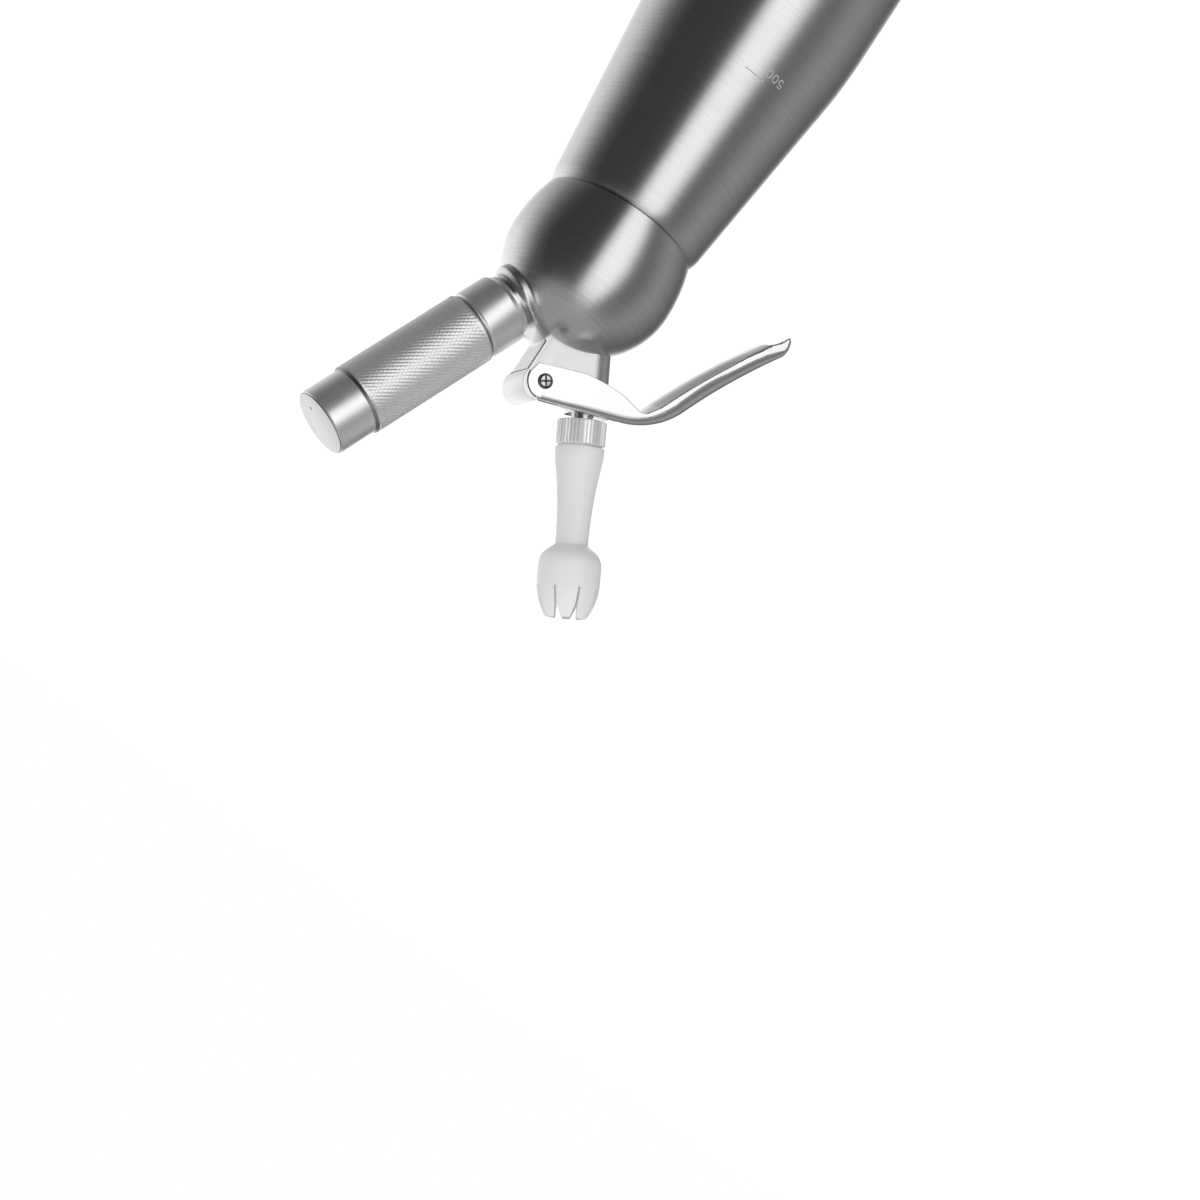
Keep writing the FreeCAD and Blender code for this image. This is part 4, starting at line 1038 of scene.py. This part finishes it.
holderSizes = {
    "steps": 112,
    "columns": 56,
    "rows": 21,
    "knurlBottom": 62.4,
    "knurlTop": 110.8,
    "knurlRadius": 12.93,
    "knurlRise": 0.13,
    "knurlStretch": 1.9,
    "knurlInset": 0.42,
    "lower": (
        (9.4, 45.7), (11.2, 45.7), (11.2, 46.6, 0.5, 3), (12.68, 48.4, 0.6, 3),
        (12.68, 60.4, 0.3, 3), (12.2, 60.7, 0.2, 3), (12.2, 61.2, 0.2, 3), (13.0, 62.4),
        (12.0, 62.4), (9.4, 60.0),
    ),
    "capTop": 126.4,
    # radius, place off the axis, depth
    "vent": (0.65, 6.0, 1.2),
    "ventSteps": 24,
    "rings": (
        ((13.03, 110.75), (12.31, 111.9), (12.0, 111.9), (12.0, 110.75)),
        ((13.03, 62.45), (12.0, 62.45), (12.0, 61.15), (12.22, 61.15)),
        ((12.29, 125.7), (11.62, 126.41), (11.4, 126.3), (11.4, 125.7)),
    ),
    "upper": (
        (12.0, 110.8), (13.0, 110.8, 0.1, 2), (12.27, 111.9, 0.1, 2),
        (12.27, 125.75, 0.12, 2), (11.6, 126.4, 0.12, 2),
        (0.0, 126.4), (0.0, 117.8), (9.35, 117.8), (9.35, 110.8),
    ),
}


def makeHolder():
    place = axisPlace("charger")
    bm = bmesh.new()
    drawWire(bm, holderSizes["lower"])
    spinRound(bm, holderSizes["steps"])
    lower = finishPiece(bm, "holderMouthBand", place, "holderAluminium",
                        "holder_body")
    bm = bmesh.new()
    drawWire(bm, holderSizes["upper"], closed=False)
    spinRound(bm, holderSizes["steps"])
    radius, offset, deep = holderSizes["vent"]
    top = holderSizes["capTop"]
    side = Matrix.Translation((offset, 0, 0))
    vent = drum(radius, top - deep, top + 1, side, steps=holderSizes["ventSteps"])
    bm = carve(bm, "cap", [vent])
    upper = finishPiece(bm, "holderEndCap", place, "holderAluminium",
                        "holder_body")
    # painted shade: the faces that look along the axis get the darker end-face aluminium
    upper.data.materials.append(materials["shadedCapAluminium"])
    lean = place.to_3x3().normalized() @ Vector((0, 0, 1))
    for face in upper.data.polygons:
        face.material_index = int(face.normal.dot(lean) > 0.99)
    # painted shade: dark rings on the chamfers at the knurl's ends and round the cap's edge
    bm = bmesh.new()
    for outline in holderSizes["rings"]:
        drawWire(bm, outline)
    spinRound(bm, holderSizes["steps"])
    rings = finishPiece(bm, "holderRings", place, "shadedRingAluminium",
                        "holder_body")
    bm = bmesh.new()
    rows = holderSizes["rows"]
    low = holderSizes["knurlBottom"]
    tall = holderSizes["knurlTop"] - low
    bottom = bm.verts.new((holderSizes["knurlRadius"], 0, low))
    top = bm.verts.new((holderSizes["knurlRadius"], 0, low + tall))
    line = bm.edges.new((bottom, top))
    bmesh.ops.subdivide_edges(bm, edges=[line], cuts=rows - 1)
    spinRound(bm, holderSizes["columns"])
    bmesh.ops.remove_doubles(bm, verts=bm.verts[:], dist=0.001)
    grid = [edge for edge in bm.edges if edge.is_manifold]
    bmesh.ops.poke(bm, faces=bm.faces[:])
    bmesh.ops.dissolve_edges(bm, edges=grid, use_verts=False)
    bmesh.ops.recalc_face_normals(bm, faces=bm.faces[:])
    diamonds = [face for face in bm.faces if len(face.verts) == 4]
    bmesh.ops.inset_individual(bm, faces=diamonds, thickness=holderSizes["knurlInset"],
                               depth=holderSizes["knurlRise"], use_even_offset=True)
    # long tops make one family of lines the stronger
    wide = math.pi * holderSizes["knurlRadius"] / holderSizes["columns"]
    high = tall / rows / 2
    for face in diamonds:
        centre = face.calc_center_median()
        side = Vector((-centre.y, centre.x, 0)).normalized()
        for vert in face.verts:
            away = vert.co - centre
            share = (away.dot(side) / wide + away.z / high) / 2 * holderSizes["knurlStretch"]
            vert.co += (side * wide + Vector((0, 0, high))) * share
    knurl = finishPiece(bm, "holderKnurl", place, "knurledAluminium",
                        "holder_body", sharp=20)
    for piece in (lower, upper, rings, knurl):
        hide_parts("charger_holder")


makeHolder()
print("holder made")


nodeFinish = {
    "thread_collar": "drawnSteel",
    "head_gasket": "greyRubber",
    "pivot_nut": "plainSteel",
    "valve_bush": "platedBrass",
    "bush_washer": "whiteRubber",
    "spindle": "valveSteel",
    "spindle_seal": "greyRubber",
    "spindle_o_ring": "greyRubber",
    "valve_spring": "valveSteel",
    "spindle_collar": "valveSteel",
    "tip_adapter": "ribbedMetal",
    "tip_washer": "whiteRubber",
    "decorator_tip": "frostedPlastic",
    "charger_spigot": "plainSteel",
    "piercing_pin": "plainSteel",
    "pin_gasket": "greyRubber",
    "check_valve": "platedBrass",
    "inlet_nut": "platedBrass",
    "gas_charger": "plainSteel",
}

for nodeName, finish in nodeFinish.items():
    node = nodes[nodeName]
    if not node.material_slots:
        node.data.materials.append(None)
    for slot in node.material_slots:
        slot.material = materials[finish]
print("finishes given")
